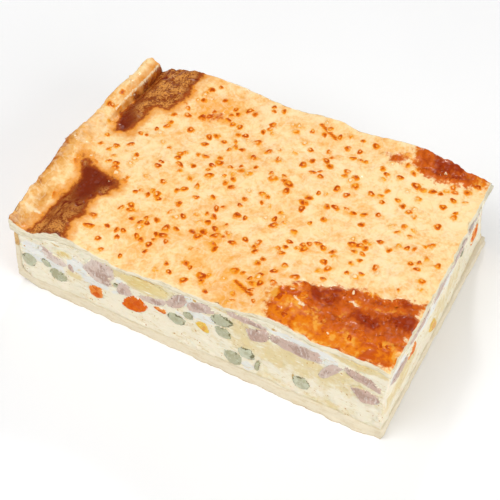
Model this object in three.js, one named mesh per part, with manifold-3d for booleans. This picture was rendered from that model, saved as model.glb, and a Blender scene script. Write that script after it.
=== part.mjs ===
// A rectangular slice of bacon and egg pie, cut from a slab that was baked in a tin.
// One short side keeps the rim and thin side wall of the tin's edge, the other three sides are cut
// faces in which the bacon, peas, carrot, corn and yolk of the filling show.
// Millimetres. The origin is at the middle of the underside, +X runs along the slice from the rim
// to the cut end, the long cut face that shows most is at -Y, and +Z is up.

import * as THREE from 'three';
import { mergeVertices } from 'three/addons/utils/BufferGeometryUtils.js';
import Module from 'manifold-3d';

const { lerp, smoothstep, degToRad } = THREE.MathUtils;
const wasm = await Module();
wasm.setup();

// Slice as a whole
const LENGTH = 181;
const WIDTH = 118;
const GAP = 0.3; // clearance between two pieces that touch

// Base crust: a soft sheet that turns up into a thin wall at the rim end
const BASE_THICKNESS = 5.4;
const BASE_WAVE = { height: 0.4, length: 84 };
const HEEL = { run: 16, rise: 4, steps: 4 }; // rounded corner of the tin under the wall
const WALL = { foot: -88, head: -85.6, top: 33, thickness: 1.5, fillet: 5, steps: 3 };
const TOE = { step: 0.8, height: 1.8 }; // small bulge at the foot of the cut end
const FOOT_SPREAD = 1.7; // how far the underside spreads past the long cuts at the cut end

// Filling: set egg between the base and the lid
const FILLING_FACE = { side: 0.5, end: 1 }; // set back of its cut faces from the edges of the base
const END_SLUMP = { front: 0.9, back: 3.6, from: 0 }; // further set back of the cut end half way up
const FILLING_SPARE = 6; // its block starts this much too high, before the lid's underside trims it

// Lid crust: level of its top, thickness at the cuts, and the swells and hollows of the baked sheet
const LID_LEVEL = 43.2;
const LID_THICKNESS = { usual: 1.9, extra: 2.7, at: -64, reach: 10 };
const LID_EDGE = { setBack: 0.9, wave: 0.45, waveLength: 46, ridge: 0.4, ridgeDrop: 1.1 };
const LID_END = { setBack: 1.2, cornerSetBack: 2.2 };
const ROOM_SPARE = 4; // margin of the room that is cut out under the lid
const LID_FLOOR = 27; // the lid's block starts this low, before the filling's room is taken out of it
const RIM = { crest: -84, round: 6, drop: 1, bow: 0.5, wave: 0.5, waveLength: 34 };
const RIM_SEAT = { height: 33.6, end: -82, blend: 4 }; // level underside where the rim sits on the wall
const SWELLS = [
  { form: 'sagging part of the long edge', x: -27, y: -62, reachX: 30, reachY: 24, rise: -3.9 },
  { form: 'browned bulge at the front corner', x: 38, y: -54, reachX: 18, reachY: 20, rise: 3.2 },
  { form: 'end of that bulge', x: 74, y: -46, reachX: 18, reachY: 22, rise: 1.4 },
  { form: 'arch of the back edge', x: 49, y: 62, reachX: 22, reachY: 14, rise: 4.0 },
  { form: 'small arch of the back edge', x: 11, y: 63, reachX: 11, reachY: 14, rise: 2.4 },
  { form: 'raised back edge', x: -50, y: 62, reachX: 18, reachY: 18, rise: 3.0 },
  { form: 'low back corner', x: 90, y: 62, reachX: 14, reachY: 18, rise: -2.6 },
  { form: 'back swell beside the rim', x: -60, y: 46, reachX: 10, reachY: 28, rise: 1.0 },
  { form: 'front swell beside the rim', x: -60, y: -50, reachX: 8, reachY: 24, rise: 0.4 },
  { form: 'front groove at the rim', x: -79, y: -54, reachX: 8.5, reachY: 26, rise: -6.8 },
  { form: 'back groove at the rim', x: -80.4, y: 48, reachX: 3.4, reachY: 28, rise: -6.0 },
  { form: 'hollow beside the back groove', x: -75, y: 54, reachX: 8, reachY: 24, rise: -2.6 },
  { form: 'raised rim', x: -87, y: 20, reachX: 5.5, reachY: 48, rise: 1.9 },
  { form: 'highest part of the rim', x: -88, y: -8, reachX: 6, reachY: 16, rise: 1.8 },
  { form: 'broken front end of the rim', x: -87, y: -60, reachX: 7, reachY: 12, rise: -0.6 },
];
const RIPPLES = [
  { rise: 0.35, alongX: 57, alongY: 107 },
  { rise: 0.3, alongX: -145, alongY: 50 },
];

// Small blisters that rose and browned in the lid's glaze
const BLISTER = { half: [1.6, 1.3, 0.8], uneven: 0.22, sunk: 0.1, sides: 5, bands: 4 };
const BLISTER_CELL = 11.2;
const BLISTER_MARGIN = 4;
const BLISTER_JITTER = 0.42;
const BLISTER_CHANCE = { open: 0.9, browned: 0.12, rim: 0.3, twin: 0.2 };
const BLISTER_TWIN_STEP = 3.9;
const BROWNED = [
  { x: -69, y: 36, reachX: 10, reachY: 28 },
  { x: -66, y: -36, reachX: 10, reachY: 24 },
];
const RANDOM = { start: 20117, factor: 16807, modulus: 2147483647 };

// Cut pieces of the filling. For each kind: corners of its outline, how square and how uneven that is,
// how far it stands proud of the cut face and how much it narrows there, how deep it goes into the egg
// for its height, and how much a kernel tapers
const KINDS = {
  bacon: { sides: 10, square: 2.8, uneven: 0.1, proud: 0.3, front: 0.94, deep: 0.9, taper: 0 },
  pea: { sides: 8, square: 2.0, uneven: 0.04, proud: 0.4, front: 0.82, deep: 0.7, taper: 0 },
  carrot: { sides: 8, square: 4.0, uneven: 0.05, proud: 0.4, front: 0.92, deep: 0.8, taper: 0 },
  corn: { sides: 8, square: 2.4, uneven: 0.03, proud: 0.5, front: 0.8, deep: 0.9, taper: 0.4 },
  yolk: { sides: 10, square: 2.6, uneven: 0.05, proud: 0.2, front: 0.97, deep: 0.9, taper: 0 },
};
const PIECE_DEPTH = { least: 3.5, most: 7 };
const PIECE_BACK = 0.55; // size of a piece's hidden end against its widest section
const PIECE_WIDEST = 0.3; // depth of the widest section, as a part of the whole depth
const POCKET_GROWTH = 0.4;
const POCKET_REACH = 2;
const PHASE_STEP = 2.4; // turns each piece's outline, so that no two are alike

// Places of the pieces in their cut face: [along the face, height], size: [wide, high], tilt in degrees
const FRONT_PIECES = [
  { kind: 'bacon', at: [-66.7, 26.6], size: [12.6, 6], tilt: -30 },
  { kind: 'bacon', at: [-58, 24.2], size: [2.6, 5.4], tilt: 8 },
  { kind: 'bacon', at: [-43, 30.3], size: [15.6, 13.6], tilt: -24 },
  { kind: 'bacon', at: [-31, 25.4], size: [5.4, 10.4], tilt: -14 },
  { kind: 'bacon', at: [-16, 26.8], size: [12, 4.2], tilt: 20 },
  { kind: 'bacon', at: [-4.6, 33.2], size: [13.4, 6.4], tilt: 46 },
  { kind: 'bacon', at: [6.2, 35.4], size: [12, 6.4], tilt: 28 },
  { kind: 'bacon', at: [27, 40], size: [18, 3.4], tilt: 2 },
  { kind: 'bacon', at: [33, 33.6], size: [10.2, 8], tilt: 24 },
  { kind: 'bacon', at: [49.8, 35.6], size: [21, 7.4], tilt: 4 },
  { kind: 'bacon', at: [64.8, 30.2], size: [15.4, 4.2], tilt: 55 },
  { kind: 'bacon', at: [79, 34], size: [15.4, 6], tilt: -18 },
  { kind: 'bacon', at: [80.8, 24.2], size: [12, 8.6], tilt: 12 },
  { kind: 'pea', at: [-80.8, 17.6], size: [7.8, 9], tilt: 0 },
  { kind: 'pea', at: [-71.4, 20.6], size: [4.8, 5.4], tilt: 12 },
  { kind: 'pea', at: [-65.8, 15.2], size: [8.8, 7.8], tilt: 16 },
  { kind: 'pea', at: [-35.1, 26.2], size: [2.4, 3.8], tilt: -20 },
  { kind: 'pea', at: [-5.8, 20.8], size: [8.6, 7.6], tilt: 12 },
  { kind: 'pea', at: [0.2, 26.6], size: [5.4, 4.8], tilt: -12 },
  { kind: 'pea', at: [16.2, 33], size: [11, 7.6], tilt: 16 },
  { kind: 'pea', at: [16.8, 25.2], size: [7.8, 7.2], tilt: 14 },
  { kind: 'pea', at: [21.4, 11.2], size: [8.4, 9.2], tilt: 6 },
  { kind: 'pea', at: [27.6, 18], size: [8.2, 7.6], tilt: 14 },
  { kind: 'pea', at: [32.7, 12.4], size: [2.6, 7.4], tilt: -10 },
  { kind: 'pea', at: [52.8, 14], size: [8, 9.2], tilt: 10 },
  { kind: 'carrot', at: [-46, 15.2], size: [7.8, 7.4], tilt: 12 },
  { kind: 'carrot', at: [-26.2, 18.2], size: [11.4, 9.2], tilt: 30 },
  { kind: 'carrot', at: [-13.4, 22.6], size: [5, 2.6], tilt: -6 },
  { kind: 'corn', at: [7.4, 23.2], size: [7.8, 5.4], tilt: -50 },
  { kind: 'yolk', at: [-21, 33.9], size: [23.6, 6.8], tilt: 1 },
  { kind: 'yolk', at: [-60.8, 31.9], size: [9.6, 4.6], tilt: 4 },
];
const END_PIECES = [
  { kind: 'bacon', at: [-44, 28], size: [16, 5], tilt: -10 },
  { kind: 'bacon', at: [-24.4, 36], size: [20, 4.8], tilt: 3 },
  { kind: 'bacon', at: [-4, 35.8], size: [14, 6.2], tilt: 12 },
  { kind: 'bacon', at: [17.4, 35.6], size: [20, 5], tilt: -6 },
  { kind: 'bacon', at: [38, 33.6], size: [12.6, 5.4], tilt: 8 },
  { kind: 'pea', at: [27, 26.6], size: [5.4, 5], tilt: 10 },
  { kind: 'carrot', at: [-30.5, 26], size: [7.2, 8], tilt: 14 },
  { kind: 'carrot', at: [49, 17], size: [7.4, 9], tilt: -16 },
  { kind: 'corn', at: [-4, 11.4], size: [12, 6], tilt: -48 },
];
const BACK_PIECES = [
  { kind: 'bacon', at: [-70, 31], size: [15, 5.4], tilt: 14 },
  { kind: 'bacon', at: [-44, 33], size: [18, 6.4], tilt: -8 },
  { kind: 'bacon', at: [-17, 30], size: [12, 11], tilt: 24 },
  { kind: 'bacon', at: [8, 35], size: [16, 4], tilt: 10 },
  { kind: 'bacon', at: [35, 32], size: [14, 7], tilt: -22 },
  { kind: 'bacon', at: [64, 30], size: [17, 5], tilt: 12 },
  { kind: 'pea', at: [-57, 19], size: [8.4, 8], tilt: 10 },
  { kind: 'pea', at: [-2, 22], size: [8, 7.4], tilt: -14 },
  { kind: 'pea', at: [7.5, 15.5], size: [7.8, 8.4], tilt: 8 },
  { kind: 'pea', at: [50, 22], size: [8.6, 7.6], tilt: 16 },
  { kind: 'carrot', at: [-30, 17.5], size: [9, 8], tilt: -18 },
  { kind: 'carrot', at: [27, 19], size: [8.2, 7.2], tilt: 22 },
  { kind: 'corn', at: [70, 17.5], size: [8, 5.6], tilt: 34 },
];
const CUT_FACES = [
  { name: 'front', turn: 0, reach: WIDTH / 2 - FILLING_FACE.side, inset: () => 0, pieces: FRONT_PIECES },
  { name: 'end', turn: 90, reach: LENGTH / 2 - FILLING_FACE.end, inset: endSlump, pieces: END_PIECES },
  { name: 'back', turn: 180, reach: WIDTH / 2 - FILLING_FACE.side, inset: () => 0, pieces: BACK_PIECES },
];

// Grid of the lid's top: short steps over the rim and its groove, longer ones along the slice
const LID_STEPS = { rimEnd: -54, rim: 3.6, long: 7.2, across: 6.6 };
const FILLING_STEPS = { along: 10, across: 30 };

const FINISHES = {
  base: { color: 0xe2d5b6, roughness: 0.85, metalness: 0 },
  filling: { color: 0xeee4c6, roughness: 0.6, metalness: 0 },
  lid: { color: 0xf3c98a, roughness: 0.5, metalness: 0 },
  bacon: { color: 0xc9a79a, roughness: 0.5, metalness: 0 },
  pea: { color: 0xb3b58f, roughness: 0.45, metalness: 0 },
  carrot: { color: 0xe0701e, roughness: 0.45, metalness: 0 },
  corn: { color: 0xe6bd4e, roughness: 0.4, metalness: 0 },
  yolk: { color: 0xe7cf8c, roughness: 0.7, metalness: 0 },
};

function namedMesh(name, geometry, finish) {
  const mesh = new THREE.Mesh(geometry, new THREE.MeshStandardMaterial(FINISHES[finish]));
  mesh.name = name;
  return mesh;
}

function wave(position, length) {
  return Math.sin((position / length) * 2 * Math.PI);
}

// Evenly spaced stations from one value to another, with steps no longer than the one given
function stations(from, to, step) {
  const count = Math.ceil((to - from) / step);
  return Array.from({ length: count + 1 }, (_, index) => lerp(from, to, index / count));
}

function randomSource() {
  let state = RANDOM.start;
  return () => {
    state = (state * RANDOM.factor) % RANDOM.modulus;
    return state / RANDOM.modulus;
  };
}

// Solids and geometries

function solidOf(geometry) {
  const plain = geometry.clone();
  plain.deleteAttribute('normal');
  plain.deleteAttribute('uv');
  const merged = mergeVertices(plain);
  const vertProperties = new Float32Array(merged.attributes.position.array);
  const triVerts = new Uint32Array(merged.index.array);
  return new wasm.Manifold(new wasm.Mesh({ numProp: 3, vertProperties, triVerts }));
}

function geometryOf(solid) {
  const { vertProperties, triVerts } = solid.getMesh();
  const geometry = new THREE.BufferGeometry();
  geometry.setAttribute('position', new THREE.Float32BufferAttribute(vertProperties, 3));
  geometry.setIndex(Array.from(triVerts));
  geometry.computeVertexNormals();
  return geometry;
}

// Closed skin through rings of equal length, with a flat cap on the first and the last ring
function loft(rings, capOutline) {
  const sides = rings[0].length;
  const caps = THREE.ShapeUtils.triangulateShape(capOutline, []);
  const last = (rings.length - 1) * sides;
  const index = [];
  for (const [a, b, c] of caps) {
    index.push(a, b, c);
    index.push(last + a, last + c, last + b);
  }
  for (let ring = 0; ring < rings.length - 1; ring += 1) {
    for (let side = 0; side < sides; side += 1) {
      const here = ring * sides + side;
      const next = ring * sides + ((side + 1) % sides);
      index.push(here, here + sides, next);
      index.push(next, here + sides, next + sides);
    }
  }
  const geometry = new THREE.BufferGeometry().setFromPoints(rings.flat());
  geometry.setIndex(index);
  geometry.computeVertexNormals();
  return geometry;
}

// Closed block over a grid: full top and bottom sheets, and side walls that pass through every level.
// point(x, y, level) gives the place of a grid corner at a level, where 0 is the bottom.
function block(xs, ys, levels, point) {
  const points = [];
  const index = [];
  const border = [];
  xs.forEach((_, i) => border.push([i, 0]));
  ys.slice(1).forEach((_, j) => border.push([xs.length - 1, j + 1]));
  xs.slice(1).forEach((_, i) => border.push([xs.length - 2 - i, ys.length - 1]));
  ys.slice(2).forEach((_, j) => border.push([0, ys.length - 2 - j]));
  const sheet = (level, up) => {
    const first = points.length;
    xs.forEach((x) => ys.forEach((y) => points.push(point(x, y, level))));
    for (let i = 0; i < xs.length - 1; i += 1) {
      for (let j = 0; j < ys.length - 1; j += 1) {
        const near = first + i * ys.length + j;
        const far = near + ys.length;
        const [left, right] = up ? [far, near + 1] : [near + 1, far];
        index.push(near, left, right);
        index.push(far + 1, right, left);
      }
    }
  };
  sheet(0, false);
  sheet(levels - 1, true);
  const wall = points.length;
  for (let level = 0; level < levels; level += 1) {
    border.forEach(([i, j]) => points.push(point(xs[i], ys[j], level)));
  }
  for (let level = 0; level < levels - 1; level += 1) {
    for (let side = 0; side < border.length; side += 1) {
      const here = wall + level * border.length + side;
      const next = wall + level * border.length + ((side + 1) % border.length);
      index.push(here, next, here + border.length);
      index.push(next, next + border.length, here + border.length);
    }
  }
  const geometry = new THREE.BufferGeometry().setFromPoints(points);
  geometry.setIndex(index);
  const closed = mergeVertices(geometry);
  closed.computeVertexNormals();
  return closed;
}

// Base crust

function baseTop(x) {
  return BASE_THICKNESS + BASE_WAVE.height * wave(x, BASE_WAVE.length);
}

function wallOuter(z) {
  return lerp(WALL.foot, WALL.head, (z - HEEL.rise) / (WALL.top - HEEL.rise));
}

function wallInner(z) {
  return wallOuter(z) + WALL.thickness;
}

// Outline of the base and its wall, seen from the long cut face
function baseOutline() {
  const end = LENGTH / 2;
  const outline = [];
  const heelStart = WALL.foot + HEEL.run;
  for (let step = HEEL.steps; step >= 0; step -= 1) {
    const part = step / HEEL.steps;
    outline.push([heelStart - HEEL.run * part, HEEL.rise * part * part]);
  }
  outline.push([end - TOE.step, 0]);
  outline.push([end, TOE.height]);
  outline.push([end - TOE.step, baseTop(end)]);
  const cornerFoot = wallInner(BASE_THICKNESS + WALL.fillet) + WALL.fillet;
  stations(cornerFoot, end, BASE_WAVE.length / 6)
    .slice(0, -1)
    .reverse()
    .forEach((x) => outline.push([x, baseTop(x)]));
  for (let step = 1; step <= WALL.steps; step += 1) {
    const angle = (step / WALL.steps) * (Math.PI / 2);
    const x = cornerFoot - WALL.fillet * Math.sin(angle);
    outline.push([x, baseTop(x) + WALL.fillet * (1 - Math.cos(angle))]);
  }
  outline.push([wallInner(WALL.top), WALL.top]);
  outline.push([wallOuter(WALL.top), WALL.top]);
  return outline;
}

// How far the soft underside spreads past the long cuts, most at the cut end and none at its top
function footSpread(x, z) {
  return FOOT_SPREAD * (x / LENGTH + 0.5) * Math.max(0, 1 - z / BASE_THICKNESS);
}

function baseCrust() {
  const outline = baseOutline();
  const cap = outline.map(([x, z]) => new THREE.Vector2(x, z));
  const ring = (side) =>
    outline.map(([x, z]) => new THREE.Vector3(x, side * (WIDTH / 2 + footSpread(x, z)), z));
  return loft([ring(-1), ring(1)], cap);
}

// Lid crust

function lidHeight(x, y) {
  const overRim = Math.max(0, (RIM.crest - x) / RIM.round);
  let height = LID_LEVEL - RIM.drop * overRim * overRim;
  for (const swell of SWELLS) {
    const alongX = (x - swell.x) / swell.reachX;
    const alongY = (y - swell.y) / swell.reachY;
    height += swell.rise * Math.exp(-alongX * alongX - alongY * alongY);
  }
  for (const ripple of RIPPLES) {
    height += ripple.rise * Math.sin(2 * Math.PI * (x / ripple.alongX + y / ripple.alongY));
  }
  return height;
}

// Underside of the lid: parallel to its top, thicker beside the rim, and level where the rim sits on the wall
function lidUnderside(x, y) {
  const off = (x - LID_THICKNESS.at) / LID_THICKNESS.reach;
  const thickness = LID_THICKNESS.usual + LID_THICKNESS.extra * Math.exp(-off * off);
  const onWall = 1 - smoothstep(x, RIM_SEAT.end, RIM_SEAT.end + RIM_SEAT.blend);
  return lerp(lidHeight(x, y) - thickness, RIM_SEAT.height, onWall);
}

// Where a point of the straight-sided sheet lies once its edges have their waves and set backs
function lidPlace(x, y) {
  const halfLength = LENGTH / 2;
  const halfWidth = WIDTH / 2;
  const across = y / halfWidth;
  const along = (x + halfLength) / LENGTH;
  const edge = halfWidth - LID_EDGE.setBack + LID_EDGE.wave * wave(x, LID_EDGE.waveLength);
  const ragged = RIM.wave * (1 + wave(y, RIM.waveLength));
  const left = -halfLength + LID_EDGE.ridge + RIM.bow * across * across + ragged;
  const right = halfLength - LID_END.setBack - LID_END.cornerSetBack * Math.max(0, across);
  return new THREE.Vector2(lerp(left, right, along), across * edge);
}

function lidBlock() {
  const rimSteps = stations(-LENGTH / 2, LID_STEPS.rimEnd, LID_STEPS.rim);
  const longSteps = stations(LID_STEPS.rimEnd, LENGTH / 2, LID_STEPS.long);
  const xs = [...rimSteps, ...longSteps.slice(1)];
  const ys = stations(-WIDTH / 2, WIDTH / 2, LID_STEPS.across);
  const topLevel = 2;
  return block(xs, ys, topLevel + 1, (x, y, level) => {
    const place = lidPlace(x, y);
    const top = lidHeight(place.x, place.y);
    if (level === topLevel) {
      return new THREE.Vector3(place.x, place.y, top);
    }
    const outward = new THREE.Vector2(x / (LENGTH / 2), y / (WIDTH / 2)).round();
    const ridge = place.addScaledVector(outward, LID_EDGE.ridge);
    const height = level === 0 ? LID_FLOOR : top - LID_EDGE.ridgeDrop;
    return new THREE.Vector3(ridge.x, ridge.y, height);
  });
}

// Room under the lid, down to below the slice and a little longer and wider than it
function roomUnderLid() {
  const xs = stations(-LENGTH / 2 - ROOM_SPARE, LENGTH / 2 + ROOM_SPARE, FILLING_STEPS.along);
  const ys = stations(-WIDTH / 2 - ROOM_SPARE, WIDTH / 2 + ROOM_SPARE, FILLING_STEPS.across);
  const height = (x, y, level) => (level === 0 ? -ROOM_SPARE : lidUnderside(x, y));
  return block(xs, ys, 2, (x, y, level) => new THREE.Vector3(x, y, height(x, y, level)));
}

function isBrowned(x, y) {
  return BROWNED.some((patch) => Math.hypot((x - patch.x) / patch.reachX, (y - patch.y) / patch.reachY) < 1);
}

function blisterChance(x, y) {
  if (x < RIM_SEAT.end + RIM_SEAT.blend) {
    return BLISTER_CHANCE.rim;
  }
  return isBrowned(x, y) ? BLISTER_CHANCE.browned : BLISTER_CHANCE.open;
}

// One blister or a pair in most cells of an even grid, each moved, turned and sized by a draw
function blisterPlaces() {
  const random = randomSource();
  const places = [];
  const insideX = LENGTH / 2 - BLISTER_MARGIN;
  const insideY = WIDTH / 2 - BLISTER_MARGIN;
  const columns = Math.floor((2 * insideX) / BLISTER_CELL);
  const rows = Math.floor((2 * insideY) / BLISTER_CELL);
  const addBlister = (x, y, turn, size) => {
    if (Math.abs(x) < insideX && Math.abs(y) < insideY) {
      places.push({ x, y, turn, size: 1 + BLISTER.uneven * (2 * size - 1) });
    }
  };
  for (let column = 0; column < columns; column += 1) {
    for (let row = 0; row < rows; row += 1) {
      const [moveX, moveY, turn, size, chance, twin, twinTurn] = Array.from({ length: 7 }, random);
      const x = (column + 0.5 - columns / 2 + BLISTER_JITTER * (2 * moveX - 1)) * BLISTER_CELL;
      const y = (row + 0.5 - rows / 2 + BLISTER_JITTER * (2 * moveY - 1)) * BLISTER_CELL;
      if (chance > blisterChance(x, y)) {
        continue;
      }
      const angle = 2 * Math.PI * turn;
      addBlister(x, y, angle, size);
      if (twin < BLISTER_CHANCE.twin) {
        const away = 2 * Math.PI * twinTurn;
        const twinX = x + BLISTER_TWIN_STEP * Math.cos(away);
        const twinY = y + BLISTER_TWIN_STEP * Math.sin(away);
        addBlister(twinX, twinY, angle + away, twin / BLISTER_CHANCE.twin);
      }
    }
  }
  return places;
}

function blisterSolid({ x, y, turn, size }) {
  const geometry = new THREE.SphereGeometry(1, BLISTER.sides, BLISTER.bands);
  geometry.rotateX(Math.PI / 2);
  geometry.scale(...BLISTER.half.map((half) => half * size));
  geometry.rotateZ(turn);
  geometry.translate(x, y, lidHeight(x, y) - BLISTER.sunk);
  return solidOf(geometry);
}

function lidCrust() {
  const sheet = solidOf(lidBlock()).subtract(solidOf(roomUnderLid()));
  const blisters = blisterPlaces().map(blisterSolid);
  return geometryOf(sheet.add(wasm.Manifold.union(blisters)));
}

// Cut pieces of the filling

// Half outline sizes of a piece at a compass angle
function outlinePoint(piece, angle, growth) {
  const kind = KINDS[piece.kind];
  const [cos, sin] = [Math.cos(angle), Math.sin(angle)];
  const rounding = (Math.abs(cos) ** kind.square + Math.abs(sin) ** kind.square) ** (-1 / kind.square);
  const lobes = 1 + kind.uneven * (Math.sin(2 * angle + piece.phase) + Math.sin(3 * angle + 2 * piece.phase));
  const taper = 1 - kind.taper * cos;
  const across = (piece.size[0] / 2) * lobes + growth;
  const up = (piece.size[1] / 2) * lobes * taper + growth;
  return new THREE.Vector2(across * rounding * cos, up * rounding * sin);
}

function pieceDepth(piece) {
  const depth = KINDS[piece.kind].deep * Math.min(...piece.size);
  return THREE.MathUtils.clamp(depth, PIECE_DEPTH.least, PIECE_DEPTH.most);
}

// Lump that starts just proud of the cut face at y = 0, is widest a little way in and ends inside the egg
function lump(piece, sections, growth) {
  const { sides } = KINDS[piece.kind];
  const angles = Array.from({ length: sides }, (_, side) => (side / sides) * 2 * Math.PI);
  const outline = angles.map((angle) => outlinePoint(piece, angle, growth));
  const rings = sections.map(({ depth, scale }) =>
    outline.map((point) => new THREE.Vector3(point.x * scale, depth, point.y * scale)));
  return loft(rings, outline);
}

function pieceGeometry(piece) {
  const kind = KINDS[piece.kind];
  const depth = pieceDepth(piece);
  const sections = [
    { depth: -kind.proud, scale: kind.front },
    { depth: PIECE_WIDEST * depth, scale: 1 },
    { depth, scale: PIECE_BACK },
  ];
  return lump(piece, sections, 0);
}

function pocketGeometry(piece) {
  const depth = pieceDepth(piece);
  const sections = [
    { depth: -POCKET_REACH, scale: 1 },
    { depth: PIECE_WIDEST * depth, scale: 1 },
    { depth: depth + POCKET_GROWTH, scale: PIECE_BACK },
  ];
  return lump(piece, sections, POCKET_GROWTH);
}

// Group of one cut face, turned so that its pieces are laid out along x and go in along +y
function cutFace({ name, turn, reach, inset, pieces }) {
  const group = new THREE.Group();
  group.rotation.z = degToRad(turn);
  const counts = {};
  pieces.forEach((piece, index) => {
    counts[piece.kind] = (counts[piece.kind] ?? 0) + 1;
    piece.phase = PHASE_STEP * index;
    const number = String(counts[piece.kind]).padStart(2, '0');
    const mesh = namedMesh(`${piece.kind}_${name}_${number}`, pieceGeometry(piece), piece.kind);
    mesh.position.set(piece.at[0], inset(...piece.at) - reach, piece.at[1]);
    mesh.rotation.y = -degToRad(piece.tilt);
    mesh.userData.pocket = pocketGeometry(piece);
    group.add(mesh);
  });
  group.updateMatrixWorld(true);
  return group;
}

// Filling

// How far the cut end has sunk in at a place across the slice and a height
function endSlump(y, z) {
  const most = lerp(END_SLUMP.front, END_SLUMP.back, smoothstep(y, END_SLUMP.from, WIDTH / 2));
  return most * Math.sin(Math.PI * Math.min(1, z / LID_LEVEL));
}

function fillingBlock() {
  const xs = stations(-LENGTH / 2, LENGTH / 2, FILLING_STEPS.along);
  const ys = stations(-WIDTH / 2, WIDTH / 2, FILLING_STEPS.across);
  const filletTop = BASE_THICKNESS + WALL.fillet;
  const heights = [BASE_THICKNESS, filletTop, LID_LEVEL / 2, LID_LEVEL + FILLING_SPARE];
  return block(xs, ys, heights.length, (x, y, level) => {
    const height = heights[level];
    const corner = level === 0 ? WALL.fillet : 0;
    const left = wallInner(Math.max(height, filletTop)) + corner + GAP;
    const right = LENGTH / 2 - FILLING_FACE.end - endSlump(y, height);
    const placeX = lerp(left, right, (x + LENGTH / 2) / LENGTH);
    const placeY = y * (1 - FILLING_FACE.side / (WIDTH / 2));
    return new THREE.Vector3(placeX, placeY, level === 0 ? baseTop(placeX) + GAP : height);
  });
}

function eggFilling(faces) {
  const room = roomUnderLid().translate(0, 0, -GAP);
  let filling = solidOf(fillingBlock()).intersect(solidOf(room));
  for (const mesh of faces.flatMap((face) => face.children)) {
    const pocket = mesh.userData.pocket.applyMatrix4(mesh.matrixWorld);
    filling = filling.subtract(solidOf(pocket));
    delete mesh.userData.pocket;
  }
  return geometryOf(filling);
}

// The slice

const slice = new THREE.Group();
const faces = CUT_FACES.map(cutFace);
slice.add(namedMesh('base_crust', baseCrust(), 'base'));
slice.add(namedMesh('egg_filling', eggFilling(faces), 'filling'));
slice.add(namedMesh('lid_crust', lidCrust(), 'lid'));
slice.add(...faces);

export default slice;
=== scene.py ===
"""Slice of bacon and egg pie: the finish of every surface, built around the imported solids.

Sizes are millimetres in the solids' own frame and are turned to metres when a mesh is made. +X runs from
the rim to the cut end, the long cut face that shows most is at -Y, and +Z is up.
"""

import functools
import itertools
import logging
import math
from collections.abc import Iterator, Mapping, Sequence
from dataclasses import dataclass
from enum import Enum

import bpy
import numpy as np
from bpy.types import Material, NodeSocket, NodeTree, Object
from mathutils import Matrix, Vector


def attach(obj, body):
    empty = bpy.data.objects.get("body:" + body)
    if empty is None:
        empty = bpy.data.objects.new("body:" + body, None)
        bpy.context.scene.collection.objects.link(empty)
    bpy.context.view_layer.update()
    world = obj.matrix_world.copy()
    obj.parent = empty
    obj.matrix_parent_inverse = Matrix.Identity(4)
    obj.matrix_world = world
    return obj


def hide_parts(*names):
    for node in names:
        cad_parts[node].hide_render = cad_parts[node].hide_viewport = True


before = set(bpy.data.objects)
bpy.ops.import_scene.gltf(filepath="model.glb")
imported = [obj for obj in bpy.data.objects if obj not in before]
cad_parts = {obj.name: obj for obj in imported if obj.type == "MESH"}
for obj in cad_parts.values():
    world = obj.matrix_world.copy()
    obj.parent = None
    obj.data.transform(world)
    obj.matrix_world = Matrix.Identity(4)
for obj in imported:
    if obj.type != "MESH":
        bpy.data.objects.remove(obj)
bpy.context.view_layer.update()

LOG = logging.getLogger("pie_slice")
MM = 0.001

Array = np.ndarray
Point = tuple[float, float]
Noises = Sequence[tuple[NodeSocket, float]]
Layer = tuple[NodeSocket, Noises, float, float, str | NodeSocket]
COLOUR_MIX = {"out": 2, "data_type": "RGBA"}
UNDER, OVER = 6, 7  # the colour inputs of a mix node


# Numbers and noise


def smoothstep(low: float, high: float, value: Array) -> Array:
    """Smooth step of a value from 0 at low to 1 at high."""
    share = np.clip((value - low) / (high - low), 0, 1)
    return share * share * (3 - 2 * share)


def wave(position: Array, length: float) -> Array:
    """Sine wave of a given length along a position."""
    return np.sin(2 * np.pi * position / length)


def stations(start: float, stop: float, step: float) -> Array:
    """Evenly spaced places from start to stop, no further apart than step."""
    return np.linspace(start, stop, math.ceil(abs(stop - start) / step) + 1)


def lattice_values(cells: Array, seed: int) -> Array:
    """Fixed random values from -1 to 1 for whole-number lattice cells.

    Args:
        cells: Whole numbers, with x, y and z along the last axis.
        seed: Picks one of many unrelated sets of values.

    Returns:
        One value for each cell.
    """
    mixed = cells[..., 0] * 73856093 ^ cells[..., 1] * 19349663 ^ cells[..., 2] * 83492791 ^ seed * 97531
    mixed = (mixed ^ mixed >> 13) * 1274126177
    mixed = mixed ^ mixed >> 16
    return (mixed & 0xFFFF) / 32767.5 - 1


def bumps(points: Array, size: float, seed: int, octaves: int = 3) -> Array:
    """Smooth random bumps with finer ones on top of them.

    Args:
        points: Places in millimetres, with x, y and z along the last axis.
        size: Width of the largest bumps in millimetres.
        seed: Picks one of many unrelated patterns.
        octaves: How many times bumps of half the width and height are added.

    Returns:
        Heights from about -1 to 1.
    """
    total = np.zeros(points.shape[:-1])
    for octave in range(octaves):
        scaled = points * (2**octave / size)
        cell = np.floor(scaled).astype(np.int64)
        part = scaled - cell
        part = part * part * (3 - 2 * part)
        for corner in itertools.product((0, 1), repeat=3):
            weight = np.prod(np.where(corner, part, 1 - part), axis=-1)
            total += weight * lattice_values(cell + np.array(corner), seed + octave) / 2**octave
    return total


def flat_points(x: Array, y: Array) -> Array:
    """Points of a level sheet, for noise that depends on the plan alone."""
    return np.stack([x, y, np.zeros_like(x)], axis=-1)


@dataclass(frozen=True)
class Relief:
    """Bumps of one kind: their height and width, the number of their pattern and their finer levels."""

    height: float
    size: float
    seed: int
    octaves: int = 3

    def at(self, points: Array) -> Array:
        """Height of the bumps at some places."""
        return self.height * bumps(points, self.size, self.seed, self.octaves)


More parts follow.
